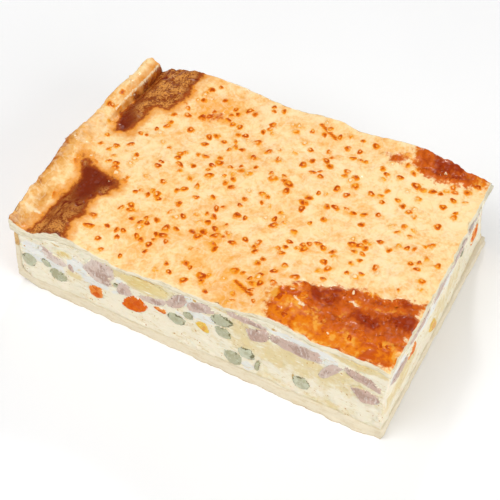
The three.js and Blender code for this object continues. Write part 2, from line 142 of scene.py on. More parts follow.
@dataclass(frozen=True)
class Cracks(Relief):
    """Winding cracks where bumps pass through zero, as wide as the bumps are below the given height."""

    def at(self, points: Array) -> Array:
        """Share from 1 in a crack to 0 away from it."""
        return smoothstep(self.height, 0, np.abs(bumps(points, self.size, self.seed, self.octaves)))


# Meshes


def mesh_piece(
    name: str, points: Array, faces: Sequence, fields: Mapping[str, Array], finish: Material
) -> Object:
    """Makes a smooth-shaded piece of the slice.

    Args:
        name: Name of the new object.
        points: Its vertices in millimetres.
        faces: Vertex numbers of each face.
        fields: A number for each vertex under each name, which the finish reads.
        finish: Its material.

    Returns:
        The object, linked to the scene and riding on the slice's one body.
    """
    mesh = bpy.data.meshes.new(name)
    mesh.from_pydata((points * MM).tolist(), [], [list(map(int, face)) for face in faces])
    for key, values in fields.items():
        attribute = mesh.attributes.new(key, "FLOAT", "POINT")
        attribute.data.foreach_set("value", values.astype(np.float32).ravel())
    mesh.materials.append(finish)
    mesh.shade_smooth()
    piece = bpy.data.objects.new(name, mesh)
    bpy.context.scene.collection.objects.link(piece)
    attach(piece, "root")
    return piece


def block_skin(block: Array) -> tuple[Array, Array]:
    """Closed skin of a block of points.

    Args:
        block: Points along x, y and height, with their coordinates along the last axis.

    Returns:
        The numbers of the block's points that the skin uses, and the skin's quads over those points.
    """
    ids = np.arange(np.prod(block.shape[:3])).reshape(block.shape[:3])
    sheets = [(ids[:, :, -1], False), (ids[:, :, 0], True), (ids[:, 0], False), (ids[:, -1], True)]
    sheets += [(ids[-1], False), (ids[0], True)]
    quads = []
    for sheet, turned in sheets:
        corners = [sheet[:-1, :-1], sheet[1:, :-1], sheet[1:, 1:], sheet[:-1, 1:]]
        quads.append(np.stack(corners[::-1] if turned else corners, axis=-1).reshape(-1, 4))
    used, faces = np.unique(np.concatenate(quads), return_inverse=True)
    return used, faces.reshape(-1, 4)


def ring_quads(rings: int, sides: int) -> Array:
    """Quads that join closed rings of equal length.

    Args:
        rings: How many rings there are.
        sides: How many points each has.

    Returns:
        The quads' vertex numbers, each facing away from the rings' inside.
    """
    ids = np.arange(rings * sides).reshape(rings, sides)
    after = np.roll(ids, -1, axis=1)
    return np.stack([ids[:-1], after[:-1], after[1:], ids[1:]], axis=-1).reshape(-1, 4)


# Materials


def to_linear(code: str) -> tuple[float, float, float, float]:
    """Turns an sRGB hex colour into linear light.

    Args:
        code: The colour as # and six hex digits.

    Returns:
        Red, green, blue and an alpha of 1.
    """
    parts = [int(code[k : k + 2], 16) / 255 for k in (1, 3, 5)]
    red, green, blue = (p / 12.92 if p <= 0.04045 else ((p + 0.055) / 1.055) ** 2.4 for p in parts)
    return red, green, blue, 1.0


def add_node(
    tree: NodeTree,
    kind: str,
    inputs: Mapping[str | int, object] | None = None,
    out: int = 0,
    **settings: object,
) -> NodeSocket | None:
    """Adds one node with its settings and links.

    Args:
        tree: The material's nodes.
        kind: Blender's name for the node.
        inputs: A value, an sRGB hex colour or another node's output for each named or numbered input.
        out: Which of the node's outputs to give back.
        settings: The node's own properties.

    Returns:
        The chosen output, or nothing for a node that has none.
    """
    node = tree.nodes.new(kind)
    for name, value in settings.items():
        setattr(node, name, value)
    for name, value in (inputs or {}).items():
        if isinstance(value, NodeSocket):
            tree.links.new(value, node.inputs[name])
        else:
            node.inputs[name].default_value = to_linear(value) if isinstance(value, str) else value
    return node.outputs[out] if node.outputs else None


def grain(
    tree: NodeTree, size: float, detail: float = 3, stretch: Point = (1, 1), distortion: float = 0
) -> NodeSocket:
    """Cloudy pattern of a real size that runs round the slice's corners.

    Args:
        tree: The material's nodes.
        size: Width of one cloud in millimetres.
        detail: How many finer levels it has.
        stretch: How many times longer it is along the slice's sides and up them.
        distortion: How much it is swirled.

    Returns:
        A value that is about 0.5 on average.
    """
    place = add_node(tree, "ShaderNodeTexCoord", out=3)
    scale = (1 / stretch[0], 1 / stretch[0], 1 / stretch[1])
    stretched = add_node(tree, "ShaderNodeVectorMath", {0: place, 1: scale}, operation="MULTIPLY")
    inputs = {"Vector": stretched, "Scale": 1 / (size * MM), "Detail": detail, "Distortion": distortion}
    return add_node(tree, "ShaderNodeTexNoise", inputs)


def ragged_share(tree: NodeTree, value: NodeSocket, noises: Noises, low: float, high: float) -> NodeSocket:
    """Share from 0 to 1 of a value whose edge is made uneven by noise.

    Args:
        tree: The material's nodes.
        value: The smooth value.
        noises: Patterns around 0.5, and how far each moves the value.
        low: Where the share is 0.
        high: Where the share is 1.

    Returns:
        The share.
    """
    for noise, reach in noises:
        inputs = {0: noise, 1: reach, 2: -reach / 2}
        centred = add_node(tree, "ShaderNodeMath", inputs, operation="MULTIPLY_ADD")
        value = add_node(tree, "ShaderNodeMath", {0: value, 1: centred}, operation="ADD")
    inputs = {"Value": value, "From Min": low, "From Max": high}
    return add_node(tree, "ShaderNodeMapRange", inputs, interpolation_type="SMOOTHSTEP")


def layered(tree: NodeTree, colour: str | NodeSocket, layers: Sequence[Layer]) -> str | NodeSocket:
    """Lays colours over each other, each by the ragged share of a value.

    Args:
        tree: The material's nodes.
        colour: The lowest colour.
        layers: Each layer's value, the noises that move it, where its share is 0 and 1, and its colour.

    Returns:
        The colour with all the layers on it.
    """
    for value, noises, low, high, over in layers:
        share = ragged_share(tree, value, noises, low, high)
        colour = add_node(tree, "ShaderNodeMix", {0: share, UNDER: colour, OVER: over}, **COLOUR_MIX)
    return colour


@dataclass(frozen=True)
class Finish:
    """A food surface: colour() draws its pattern, and the rest are typical values of the food."""

    name: str
    roughness: float = 0.5
    ior: float = 1.45
    specular: float = 0.4
    coat: float = 0.0
    coat_roughness: float = 0.2
    subsurface: float = 0.0
    subsurface_reach: float = 2.0
    grain_size: float = 0.8  # finer in the real food, and drawn as coarse as it needs to show
    grain_height: float = 0.1
    gloss_spread: float = 0.08

    def colour(self, tree: NodeTree) -> NodeSocket:
        """Pattern of colour over the surface, which each finish draws for itself."""
        raise NotImplementedError

    def make(self) -> Material:
        """Makes the material.

        Returns:
            The material, with its colour pattern, gloss and fine grain.
        """
        material = bpy.data.materials.new(self.name)
        material.use_nodes = True
        tree = material.node_tree
        tree.nodes.clear()
        fine = grain(tree, self.grain_size, 4)
        bump = {"Height": fine, "Strength": 1.0, "Distance": self.grain_height * MM}
        gloss = {
            "Value": ragged_share(tree, fine, [], 0.2, 0.8),
            "To Min": self.roughness - self.gloss_spread,
            "To Max": self.roughness + self.gloss_spread,
        }
        surface = {
            "Base Color": self.colour(tree),
            "Roughness": add_node(tree, "ShaderNodeMapRange", gloss),
            "Normal": add_node(tree, "ShaderNodeBump", bump),
            "IOR": self.ior,
            "Specular IOR Level": self.specular,
            "Coat Weight": self.coat,
            "Coat Roughness": self.coat_roughness,
            "Subsurface Weight": self.subsurface,
            "Subsurface Scale": self.subsurface_reach * MM,
        }
        shader = add_node(tree, "ShaderNodeBsdfPrincipled", surface)
        add_node(tree, "ShaderNodeOutputMaterial", {"Surface": shader})
        return material


@dataclass(frozen=True)
class GlazedPastry(Finish):
    """Pastry brushed with egg and baked: satin, pale gold where it lay flat, dark where it caught."""

    name: str = "egg_glazed_pastry"
    roughness: float = 0.34
    specular: float = 0.18
    coat: float = 0.14
    coat_roughness: float = 0.1
    grain_size: float = 0.9
    grain_height: float = 0.16
    cream: str = "#FFE1A6"
    gold: str = "#F8A942"
    streak: str = "#FFEBC4"
    vein: str = "#F0A444"
    line_width: float = 0.045
    rim_tan: str = "#E4A450"
    rim_brown: str = "#B8641E"
    honey: str = "#F0A43A"
    amber: str = "#E67C04"
    amber_deep: str = "#C65202"
    russet: str = "#D0600E"
    russet_dark: str = "#9C3202"
    toasted: str = "#EC9838"
    singed: str = "#A04408"
    scorched: str = "#8C3E0A"
    scorched_light: str = "#E69C4A"
    scorched_dark: str = "#7A2602"
    halo: str = "#F6A82C"
    blister: str = "#EA7C0A"
    blister_dark: str = "#BC4A00"
    bare_and_highlight: str = "#FCE4B8"
    crumb: str = "#E8DEC4"
    crumb_shade: str = "#D3C49E"

    def colour(self, tree: NodeTree) -> NodeSocket:
        """Draws the browning from the lid's named fields.

        Args:
            tree: The material's nodes.

        Returns:
            The colour.
        """
        names = ("tint", "rim", "groove", "scorch", "bulge", "lump", "core", "blister", "bare_and_highlight", "cut")
        tint, rim, groove, scorch, bulge, lump, core, blister, bare_and_highlight, cut = (
            add_node(tree, "ShaderNodeAttribute", out=2, attribute_name=name) for name in names
        )
        # Clouds of browning are as wide as a thumb and as half a pea, the glaze's grain is about a
        # millimetre, and the cut flakes are thinner than that and much longer
        broad, patchy, fine = grain(tree, 22, 2), grain(tree, 4.5, 4), grain(tree, 1.3, 3)
        grit, flakes = grain(tree, 0.8, 2), grain(tree, 0.7, 2, stretch=(12, 1))
        amber = layered(tree, self.honey, [
            (lump, [(patchy, 1.8), (fine, 1.2)], -0.6, -0.1, self.amber),
            (lump, [(patchy, 1.8), (fine, 1.3)], -0.1, 0.65, self.amber_deep),
        ])
        russet = layered(tree, self.russet, [
            (core, [(patchy, 1.1), (fine, 0.7)], 0.5, 1.2, self.russet_dark),
        ])
        brown = layered(tree, self.scorched, [
            (grit, [(patchy, 0.8)], 0.36, 0.68, self.scorched_light),
            (scorch, [(patchy, 0.9), (grit, 1.5)], 0.15, 0.95, self.scorched_dark),
        ])
        crumb = layered(tree, self.crumb, [(flakes, [(fine, 0.3)], 0.45, 0.7, self.crumb_shade)])
        colour = layered(tree, self.cream, [
            (tint, [(broad, 0.9), (patchy, 1.1), (fine, 0.8)], 0.0, 1.0, self.gold),
            (rim, [(patchy, 0.9), (fine, 0.6)], 0.0, 0.6, self.rim_tan),
            (rim, [(patchy, 1.2), (fine, 0.9)], 0.5, 1.1, self.rim_brown),
            (blister, [(fine, 0.2)], 0.06, 0.32, self.halo),
        ])
        for line, size, strength in ((self.streak, 18, 0.25), (self.streak, 6.5, 0.35), (self.vein, 12, 0.2)):
            winding = grain(tree, size, 4, distortion=0.6)
            off = add_node(tree, "ShaderNodeMath", {0: winding, 1: 0.5}, operation="SUBTRACT")
            away = add_node(tree, "ShaderNodeMath", {0: off}, operation="ABSOLUTE")
            inputs = {"Value": away, "From Max": self.line_width, "To Min": strength, "To Max": 0.0}
            share = add_node(tree, "ShaderNodeMapRange", inputs)
            colour = add_node(tree, "ShaderNodeMix", {0: share, UNDER: colour, OVER: line}, **COLOUR_MIX)
        return layered(tree, colour, [
            (bulge, [(patchy, 9.0), (fine, 5.0)], -1.4, 1.4, amber),
            (blister, [(fine, 0.7), (grit, 0.4)], 0.24, 0.6, self.blister),
            (blister, [(fine, 0.8), (grit, 0.5)], 0.58, 1.05, self.blister_dark),
            (core, [(patchy, 0.9), (fine, 0.7)], 0.1, 0.55, russet),
            (groove, [(patchy, 6.0), (fine, 1.8)], -6.0, -0.4, self.toasted),
            (groove, [(patchy, 4.0), (fine, 2.4)], -1.4, 0.5, self.singed),
            (groove, [(patchy, 4.0), (fine, 2.4)], 0.2, 2.0, brown),
            # Pale dough, and along the rim's inner step a painted highlight
            (bare_and_highlight, [(fine, 1.6), (patchy, 1.0)], 0.5, 1.1, self.bare_and_highlight),
            (cut, [(fine, 0.3)], 0.2, 0.6, crumb),
        ])


@dataclass(frozen=True)
class BlisteredGlaze(GlazedPastry):
    """The same glaze risen in blisters: thin, with small glints, so that its brown shows clear."""

    name: str = "blistered_egg_glaze"
    roughness: float = 0.28
    specular: float = 0.1
    coat: float = 0.07


@dataclass(frozen=True)
class SetEgg(Finish):
    """Baked egg, cut with a knife: moist white, creamy mixed egg and yellow yolk run into each other."""

    name: str = "set_egg"
    roughness: float = 0.44
    ior: float = 1.4
    subsurface: float = 0.1
    grain_size: float = 0.9
    grain_height: float = 0.3
    white: str = "#EAE9E2"
    cream: str = "#F3EAD2"
    custard: str = "#E6D29E"
    yolk: str = "#DBBA68"
    smear: str = "#DCC998"
    curd: str = "#FBF6E6"
    seam: str = "#CFA657"
    pink: str = "#CBBBB2"
    fleck: str = "#C2924E"

    def colour(self, tree: NodeTree) -> NodeSocket:
        """Draws white, cream, custard and yolk by the share of yolk in the egg.

        Args:
            tree: The material's nodes.

        Returns:
            The colour.
        """
        yolk, seam, pink = (
            add_node(tree, "ShaderNodeAttribute", out=2, attribute_name=name)
            for name in ("yolk", "seam", "pink")
        )
        # Blotches are nearly as wide as a pea, and curds, streaks and flecks about a millimetre
        blotch, fine, flecks = grain(tree, 6, 4), grain(tree, 1.4, 3), grain(tree, 1.5, 2)
        streaks = grain(tree, 1.1, 4, stretch=(4, 1), distortion=0.8)
        mottle = [(blotch, 1.1), (fine, 0.5)]
        return layered(tree, self.white, [
            (yolk, mottle, -0.55, -0.25, self.cream),
            (yolk, mottle, 0.0, 0.45, self.custard),
            (yolk, mottle, 0.6, 1.0, self.yolk),
            (streaks, [(fine, 0.2)], 0.56, 0.74, self.smear),
            (streaks, [(fine, 0.2)], 0.4, 0.26, self.curd),
            (pink, [(blotch, 1.2), (fine, 0.5)], 0.35, 0.75, self.pink),
            # Seams and stains of juices, and the painted shade of a small hollow under the lid
            (seam, [(blotch, 1.0), (fine, 0.8)], 0.6, 1.1, self.seam),
            # Brown specks, partly painted shade of small holes in the egg
            (flecks, [(blotch, 0.4)], 0.7, 0.76, self.fleck),
        ])


@dataclass(frozen=True)
class SoftBase(Finish):
    """Base pastry that steamed under the egg: pale, close and dull, browned only where it met the tin."""

    name: str = "soft_base_pastry"
    roughness: float = 0.7
    grain_size: float = 0.8
    grain_height: float = 0.16
    crumb: str = "#E8DCC2"
    shade: str = "#DCCAA6"
    browned: str = "#E6C288"
    browned_dark: str = "#BC8642"

    def colour(self, tree: NodeTree) -> NodeSocket:
        """Draws a flecked crumb that browns towards the tin.

        Args:
            tree: The material's nodes.

        Returns:
            The colour.
        """
        tin = add_node(tree, "ShaderNodeAttribute", out=2, attribute_name="tin")
        # The tin browns in clouds nearly as wide as a pea and a thumb, and the crumb lies in thin layers
        broad, patchy, fine = grain(tree, 24, 2), grain(tree, 6, 3), grain(tree, 1.1, 3)
        layers = grain(tree, 1.3, 4, stretch=(5, 1))
        brown = layered(tree, self.browned, [
            (patchy, [(fine, 0.9), (broad, 0.9)], 0.1, 1.0, self.browned_dark),
        ])
        return layered(tree, self.crumb, [
            (layers, [(fine, 0.4)], 0.42, 0.8, self.shade),
            (tin, [(patchy, 0.7), (fine, 0.4)], 0.35, 0.9, brown),
        ])


@dataclass(frozen=True)
class CutMorsel(Finish):
    """A cooked piece of the filling cut through: its flesh, streaks, heart, and skin or edge."""

    specular: float = 0.25
    subsurface: float = 0.08
    grain_height: float = 0.16
    flesh: str = "#C9ADA2"
    pale: str = "#D8C5B8"
    streak: str = "#E2D6CC"
    heart: str = "#C9ADA2"
    edge: str = "#AE8A7C"
    edge_start: float = 0.8
    edge_width: float = 0.2
    speck: str = "#86705C"
    cloud: float = 3.0
    fibre: Point = (1, 1)

    def colour(self, tree: NodeTree) -> NodeSocket:
        """Draws flesh that varies from piece to piece, with streaks, a heart, an edge and egg over that.

        Args:
            tree: The material's nodes.

        Returns:
            The colour.
        """
        rim, tone = (
            add_node(tree, "ShaderNodeAttribute", out=2, attribute_name=name) for name in ("rim", "tone")
        )
        # Fibres and specks are about a millimetre wide, smears of egg three or four
        clouds, fine, blots = grain(tree, self.cloud, 3), grain(tree, 0.8, 3), grain(tree, 4, 3)
        streaks, specks = grain(tree, 0.9, 4, self.fibre, 0.7), grain(tree, 1.3, 2)
        smears = grain(tree, 3.4, 4, stretch=(1.6, 1), distortion=0.6)
        film = SetEgg().colour(tree)
        return layered(tree, self.flesh, [
            (tone, [(clouds, 1.4), (fine, 0.5)], 0.1, 0.9, self.pale),
            (clouds, [(rim, -0.25), (fine, 0.3)], 0.42, 0.62, self.heart),
            (streaks, [(clouds, 0.2)], 0.52, 0.76, self.streak),
            # The edge darkens the piece's rim; on the peas it is partly painted shade round them
            (rim, [(blots, 2.0), (fine, 0.4)], self.edge_start, self.edge_start + self.edge_width, self.edge),
            (specks, [(rim, 0.25)], 0.72, 0.78, self.speck),
            (smears, [(rim, 0.16)], 0.7, 0.76, film),
            (rim, [(blots, 0.6), (fine, 0.5)], 0.9, 1.0, film),
        ])


@dataclass(frozen=True)
class PaleFloor(Finish):
    """Matt white board: an even pale ground that takes soft shadows."""

    name: str = "matt_white_board"
    roughness: float = 0.9
    grain_height: float = 0.01
    light: str = "#FDFDFD"
    shade: str = "#FAFAFA"
    cloud: float = 60.0

    def colour(self, tree: NodeTree) -> NodeSocket:
        """Draws a white that is hardly uneven."""
        inputs = {0: grain(tree, self.cloud, 1), UNDER: self.light, OVER: self.shade}
        return add_node(tree, "ShaderNodeMix", inputs, **COLOUR_MIX)


# The slice's shape, as its solids have it


@dataclass(frozen=True)
class Swell:
    """A swell or hollow of the baked lid: its place, how far it reaches each way, and its height."""

    x: float
    y: float
    reach_x: float
    reach_y: float
    rise: float

    def height(self, x: Array, y: Array) -> Array:
        """Height that it adds at a place."""
        return self.rise * np.exp(-(((x - self.x) / self.reach_x) ** 2) - ((y - self.y) / self.reach_y) ** 2)


@dataclass(frozen=True)
class Patch:
    """A browned patch of the lid, by the corners of its outline."""

    corners: tuple[Point, ...]

    def depth(self, x: Array, y: Array) -> Array:
        """How far inside the outline a place is.

        Args:
            x: Places along the slice.
            y: Places across it.

        Returns:
            The distance to the outline in millimetres, below 0 outside it.
        """
        nearest = np.full(np.shape(x), np.inf)
        inside = np.zeros(np.shape(x), bool)
        for (ax, ay), (bx, by) in zip(self.corners, self.corners[1:] + self.corners[:1]):
            run, rise = bx - ax, by - ay
            along = np.clip(((x - ax) * run + (y - ay) * rise) / (run * run + rise * rise), 0, 1)
            nearest = np.minimum(nearest, np.hypot(x - ax - along * run, y - ay - along * rise))
            if rise:
                inside ^= ((ay > y) != (by > y)) & (x < ax + (y - ay) * run / rise)
        return np.where(inside, nearest, -nearest)


@dataclass(frozen=True)
class Slit:
    """A short slit or streak in the lid, from one end to the other, and its width."""

    start: Point
    stop: Point
    width: float

    def nearness(self, x: Array, y: Array) -> Array:
        """How near to the slit a place is.

        Args:
            x: Places along the slice.
            y: Places across it.

        Returns:
            A share from 1 on the slit to 0 away from it.
        """
        run, rise = self.stop[0] - self.start[0], self.stop[1] - self.start[1]
        along = ((x - self.start[0]) * run + (y - self.start[1]) * rise) / (run * run + rise * rise)
        along = np.clip(along, 0, 1)
        away = np.hypot(x - self.start[0] - along * run, y - self.start[1] - along * rise)
        return np.exp(-((away / self.width) ** 2))


@dataclass(frozen=True)
class SliceForm:
    """Sizes and rules that the base, the filling and the lid share."""

    length: float = 181.0
    width: float = 118.0
    gap: float = 0.3
    base_thickness: float = 5.4
    base_wave: Point = (0.4, 84)
    heel: Point = (16, 4)
    wall_foot: float = -88.0
    wall_head: float = -85.6
    wall_top: float = 33.0
    wall_thickness: float = 1.5
    fillet: float = 5.0
    toe: Point = (0.8, 1.8)
    foot_spread: float = 1.7
    side_set_back: float = 0.5
    end_set_back: float = 1.0
    end_slump: Point = (0.9, 3.6)
    lid_level: float = 43.2

    def base_top(self, x: Array) -> Array:
        """Height of the base sheet's upper side."""
        return self.base_thickness + self.base_wave[0] * wave(x, self.base_wave[1])

    def wall_outer(self, z: Array) -> Array:
        """Where the thin wall's outer side is at a height."""
        share = (z - self.heel[1]) / (self.wall_top - self.heel[1])
        return self.wall_foot + (self.wall_head - self.wall_foot) * share

    def spread(self, x: Array, z: Array) -> Array:
        """How far the soft underside spreads past the long cuts."""
        return self.foot_spread * (x / self.length + 0.5) * np.maximum(0, 1 - z / self.base_thickness)

    def cut_end(self, y: Array, z: Array) -> Array:
        """Where the filling's cut end is.

        Args:
            y: Places across the slice.
            z: Heights.

        Returns:
            Places along the slice.
        """
        front, back = self.end_slump
        most = front + (back - front) * smoothstep(0, self.width / 2, y)
        return self.length / 2 - self.end_set_back - most * np.sin(np.pi * np.minimum(1, z / self.lid_level))


@dataclass(frozen=True)
class LidForm:
    """Rules of the lid's large form: its swells, its rim and its thickness."""

    form: SliceForm
    thickness: float = 1.9
    thick_part: tuple[float, float, float] = (2.7, -64, 10)
    edge_set_back: float = 0.9
    edge_wave: Point = (0.45, 46)
    ridge: float = 0.4
    end_set_back: float = 1.2
    corner_set_back: float = 2.2
    rim: tuple[float, float, float] = (-84, 6, 1)
    rim_bow: float = 0.5
    rim_wave: Point = (0.5, 34)
    seat: tuple[float, float, float] = (33.6, -82, 4)
    ripples: tuple[tuple[float, float, float], ...] = ((0.35, 57, 107), (0.3, -145, 50))
    swells: tuple[Swell, ...] = (
        Swell(-27, -62, 30, 24, -3.9),  # sagging part of the long edge
        Swell(38, -54, 18, 20, 3.2),  # browned bulge at the front corner
        Swell(74, -46, 18, 22, 1.4),  # end of that bulge
        Swell(49, 62, 22, 14, 4.0),  # arch of the back edge
        Swell(11, 63, 11, 14, 2.4),  # small arch of the back edge
        Swell(-50, 62, 18, 18, 3.0),  # raised back edge
        Swell(90, 62, 14, 18, -2.6),  # low back corner
        Swell(-60, 46, 10, 28, 1.0),  # back swell beside the rim
        Swell(-60, -50, 8, 24, 0.4),  # front swell beside the rim
        Swell(-79, -54, 8.5, 26, -6.8),  # front groove at the rim
        Swell(-80.4, 48, 3.4, 28, -6.0),  # back groove at the rim
        Swell(-75, 54, 8, 24, -2.6),  # hollow beside the back groove
        Swell(-87, 20, 5.5, 48, 1.9),  # raised rim
        Swell(-88, -8, 6, 16, 1.8),  # highest part of the rim
        Swell(-87, -60, 7, 12, -0.6),  # broken front end of the rim
    )

    def height(self, x: Array, y: Array) -> Array:
        """Height of the lid's top without its fine relief.

        Args:
            x: Places along the slice.
            y: Places across it.

        Returns:
            Heights in millimetres.
        """
        crest, round_off, drop = self.rim
        total = self.form.lid_level - drop * np.maximum(0, (crest - x) / round_off) ** 2
        for swell in self.swells:
            total = total + swell.height(x, y)
        for rise, along_x, along_y in self.ripples:
            total = total + rise * np.sin(2 * np.pi * (x / along_x + y / along_y))
        return total

    def underside(self, x: Array, y: Array) -> Array:
        """Height of the lid's underside, which is level where the rim sits on the wall.

        Args:
            x: Places along the slice.
            y: Places across it.

        Returns:
            Heights in millimetres.
        """
        extra, at, reach = self.thick_part
        level, end, blend = self.seat
        under = self.height(x, y) - self.thickness - extra * np.exp(-(((x - at) / reach) ** 2))
        on_wall = 1 - smoothstep(end, end + blend, x)
        return under + (level - under) * on_wall

    def place(self, x: Array, y: Array) -> tuple[Array, Array]:
        """Where a point of a straight-sided sheet lies once the edges have their waves and set backs.

        Args:
            x: Places along the straight-sided sheet.
            y: Places across it.

        Returns:
            The places along and across the lid.
        """
        half_length, half_width = self.form.length / 2, self.form.width / 2
        across = y / half_width
        edge = half_width - self.edge_set_back + self.edge_wave[0] * wave(x, self.edge_wave[1])
        left = -half_length + self.ridge + self.rim_bow * across**2
        left = left + self.rim_wave[0] * (1 + wave(y, self.rim_wave[1]))
        right = half_length - self.end_set_back - self.corner_set_back * np.maximum(0, across)
        return left + (right - left) * (x + half_length) / self.form.length, across * edge


# Lid crust


@dataclass(frozen=True)
class LidSurface:
    """Fine surface of the lid: its relief and the fields that its finish reads."""

    lid: LidForm
    # Dark hollows behind the rim, at the back and at the front
    grooves: tuple[Patch, ...] = (
        Patch((
            (-74, 9), (-78, 13.5), (-80.3, 20), (-81.5, 28), (-81.7, 62), (-56, 62), (-57, 45), (-58.5, 34),
            (-61.5, 29.5), (-67.5, 28.5), (-68.3, 20), (-70, 9),
        )),
        Patch((
            (-79, -13), (-72, -16), (-66, -17.5), (-60, -18.5), (-55, -20.5), (-55, -22.5), (-58, -24.5),
            (-57, -28), (-61, -30), (-61.5, -36), (-59.5, -42), (-62, -48), (-59, -56), (-58, -62),
            (-79, -62), (-78.5, -50), (-76.5, -42), (-74.5, -35), (-74, -27), (-75, -20.5), (-77.5, -16),
        )),
    )
    # Parts that rose and turned amber, at the front corner and at the back edge
    bulges: tuple[Patch, ...] = (
        Patch((
            (30, -43), (31.5, -40), (36, -37), (41, -34), (50, -32.5), (52, -28), (57.5, -27.5), (62, -24.8),
            (66, -26.5), (74, -26), (80, -22.8), (89.5, -21), (88, -25), (86, -28.5), (90, -29.5), (90, -55),
            (84, -57.5), (60, -60), (36, -58), (33, -51),
        )),
        Patch((
            (50.5, 52.5), (52, 62), (88, 62), (87, 53), (82, 51), (78, 49), (74, 47), (66, 44.8), (60, 47),
            (55, 48.5),
        )),
    )
    # Red-brown middles of both bulges, and two small spots of their own
    cores: tuple[Patch, ...] = (
        Patch((
            (43, -36), (45, -33.5), (50, -32), (53, -28), (58, -28), (61, -26), (66, -27), (74, -26.5),
            (80, -23), (89, -21.5), (87, -28), (90, -30), (90, -47), (80, -47), (72, -48.5), (60, -50.5),
            (50, -49), (46, -44),
        )),
        Patch(((54, 48.5), (53, 54), (57, 62), (84, 62), (85, 56), (82, 52), (74, 47.5), (66, 45), (60, 47))),
        Patch(((40, 48.7), (45, 50.6), (49.8, 49.5), (48, 47.3), (43, 47))),
        Patch(((-41, 35.5), (-40, 38), (-37, 38.5), (-36, 36), (-37.5, 34))),
    )
    # Darker and paler places of those middles
    caramel: tuple[Swell, ...] = (
        Swell(49, -38, 6, 4.5, 0.6), Swell(55, -29.8, 3, 2.2, 0.7), Swell(72, -27.5, 7, 2.2, 0.5),
        Swell(84, -24.5, 6, 2.4, 0.6), Swell(70, -39.5, 9, 4, 0.6), Swell(84, -34, 6, 3, 0.6),
        Swell(63.5, -34, 3, 1.6, -0.7), Swell(66, 52, 9, 6, 0.4), Swell(60, 48, 4, 2, 0.4),
    )
    # Nearly black and paler places of the grooves
    scorches: tuple[Swell, ...] = (
        Swell(-74, 15, 6, 9, 0.85), Swell(-78, 30, 3, 14, 0.6), Swell(-77, 50, 2.5, 10, 0.45),
        Swell(-58.5, 46, 1.8, 16, 0.5), Swell(-66, 57, 9, 2.5, 0.35), Swell(-70, 36, 4, 5, 0.25),
        Swell(-67, -28, 6.5, 12, 1.05), Swell(-72, -20, 5, 5, 0.7), Swell(-60, -22, 5, 2.5, 0.8),
        Swell(-75, -40, 2, 9, 0.5), Swell(-61, -42, 1.8, 8, 0.45), Swell(-68, -58, 8, 1.5, 0.5),
        Swell(-72, -48, 3, 2, 0.4), Swell(-68, -48, 6, 8, 0.22), Swell(-68, 44, 7, 10, -0.16),
    )
    # How golden the sheet is all over, and where it is more or less so
    gold: float = 0.37
    tints: tuple[Swell, ...] = (
        Swell(-41, 38, 9, 9, 0.8), Swell(-87, -10, 7, 60, 0.35), Swell(-85, 46, 4, 26, -0.4),
        Swell(-55, 0, 28, 36, -0.05), Swell(-10, -40, 26, 14, 0.18), Swell(20, -46, 12, 12, 0.42),
        Swell(60, 20, 34, 22, -0.06), Swell(74, 36, 18, 12, -0.5),
    )
    # Browned places of the rim
    toasts: tuple[Swell, ...] = (
        Swell(-91, -20, 6, 20, 1.25), Swell(-86, -57, 5, 5, 0.9), Swell(-82, -40, 2.5, 8, 0.5),
        Swell(-91, 30, 3, 40, 0.12), Swell(-84, -8, 4, 14, 0.12),
    )
    # Browned streaks of the sheet and the rim, and slits that show pale dough, one also painted highlight
    dark_slits: tuple[Slit, ...] = (
        Slit((6.6, 53.2), (16.4, 48.6), 0.68), Slit((15.4, -44.8), (24.6, -48.9), 0.78),
        Slit((-85.4, 30.4), (-85, 29), 1.1), Slit((-86.5, 20.4), (-86.1, 19.4), 1.0),
        Slit((-81.8, 21.4), (-81.6, 20), 1.0),
    )
    bare_and_highlight_slits: tuple[Slit, ...] = (
        Slit((41.5, -43), (46, -45), 1.2), Slit((88, -41), (91, -42), 1.5),
        Slit((61.5, -33.7), (65, -34.3), 1.0), Slit((87.5, -27.6), (91, -28.6), 1.2),
        # The last slit, on the rim's inner step, is pale dough and also a painted highlight along that step's
        # edge
        Slit((-86, -47.5), (-80, -46.8), 1.4), Slit((-82.2, 19), (-82.2, 62), 0.75),
    )
    # Lines along which the sheet is folded
    folds: tuple[tuple[Point, ...], ...] = (
        ((56.8, 0.7), (61.5, -1.9), (64.2, -5.4), (65.6, -10.1), (66.0, -17.0)),
        ((28.6, 22.4), (31.6, 27.8), (35.8, 31.7)),
        ((24.3, 10.4), (22.5, 16.1)),
        ((37.9, 38.8), (46.5, 45.4), (51.1, 50.4)),
    )
    fold_width: float = 0.8
    fold_height: float = 0.25
    waviness: tuple[Relief, ...] = (Relief(0.22, 13, 41), Relief(0.05, 2.2, 42))
    wrinkles: Cracks = Cracks(0.14, 13, 43)
    wrinkle_depth: float = 0.12
    stretch: Relief = Relief(1, 2.4, 56)  # streaks of the stretched dough
    stretch_bend: Relief = Relief(5, 30, 57, 2)
    stretch_height: float = 0.07
    stray: Relief = Relief(1, 5, 31)  # of the browned patches' edges
    lump_parts: tuple[Relief, ...] = (Relief(0.65, 4.6, 45, 2), Relief(0.42, 1.9, 46, 2))
    splits: Cracks = Cracks(0.1, 4, 58, 2)  # between the lumps
    split_depth: float = 0.5
    bulge_rise: Point = (0.35, 0.6)  # all over, and of the lumps
    core_rise: Point = (0.8, 0.8)
    charred: tuple[Relief, ...] = (Relief(0.4, 3.2, 47), Relief(0.28, 1.4, 59, 2))  # roughness of the grooves
    groove_cracks: Cracks = Cracks(0.16, 5, 49, 2)
    groove_sink: Point = (0.3, 0.5)  # all over, and in the cracks
    groove_shade: Relief = Relief(0.9, 5, 60)
    flakes: Relief = Relief(0.4, 4.5, 48)  # of the rim
    flake_edges: Relief = Relief(1, 4.5, 53, 4)
    flake_step: float = 0.45
    wear: Swell = Swell(-91, 60, 5, 18, -1.6)  # outer corner of the rim
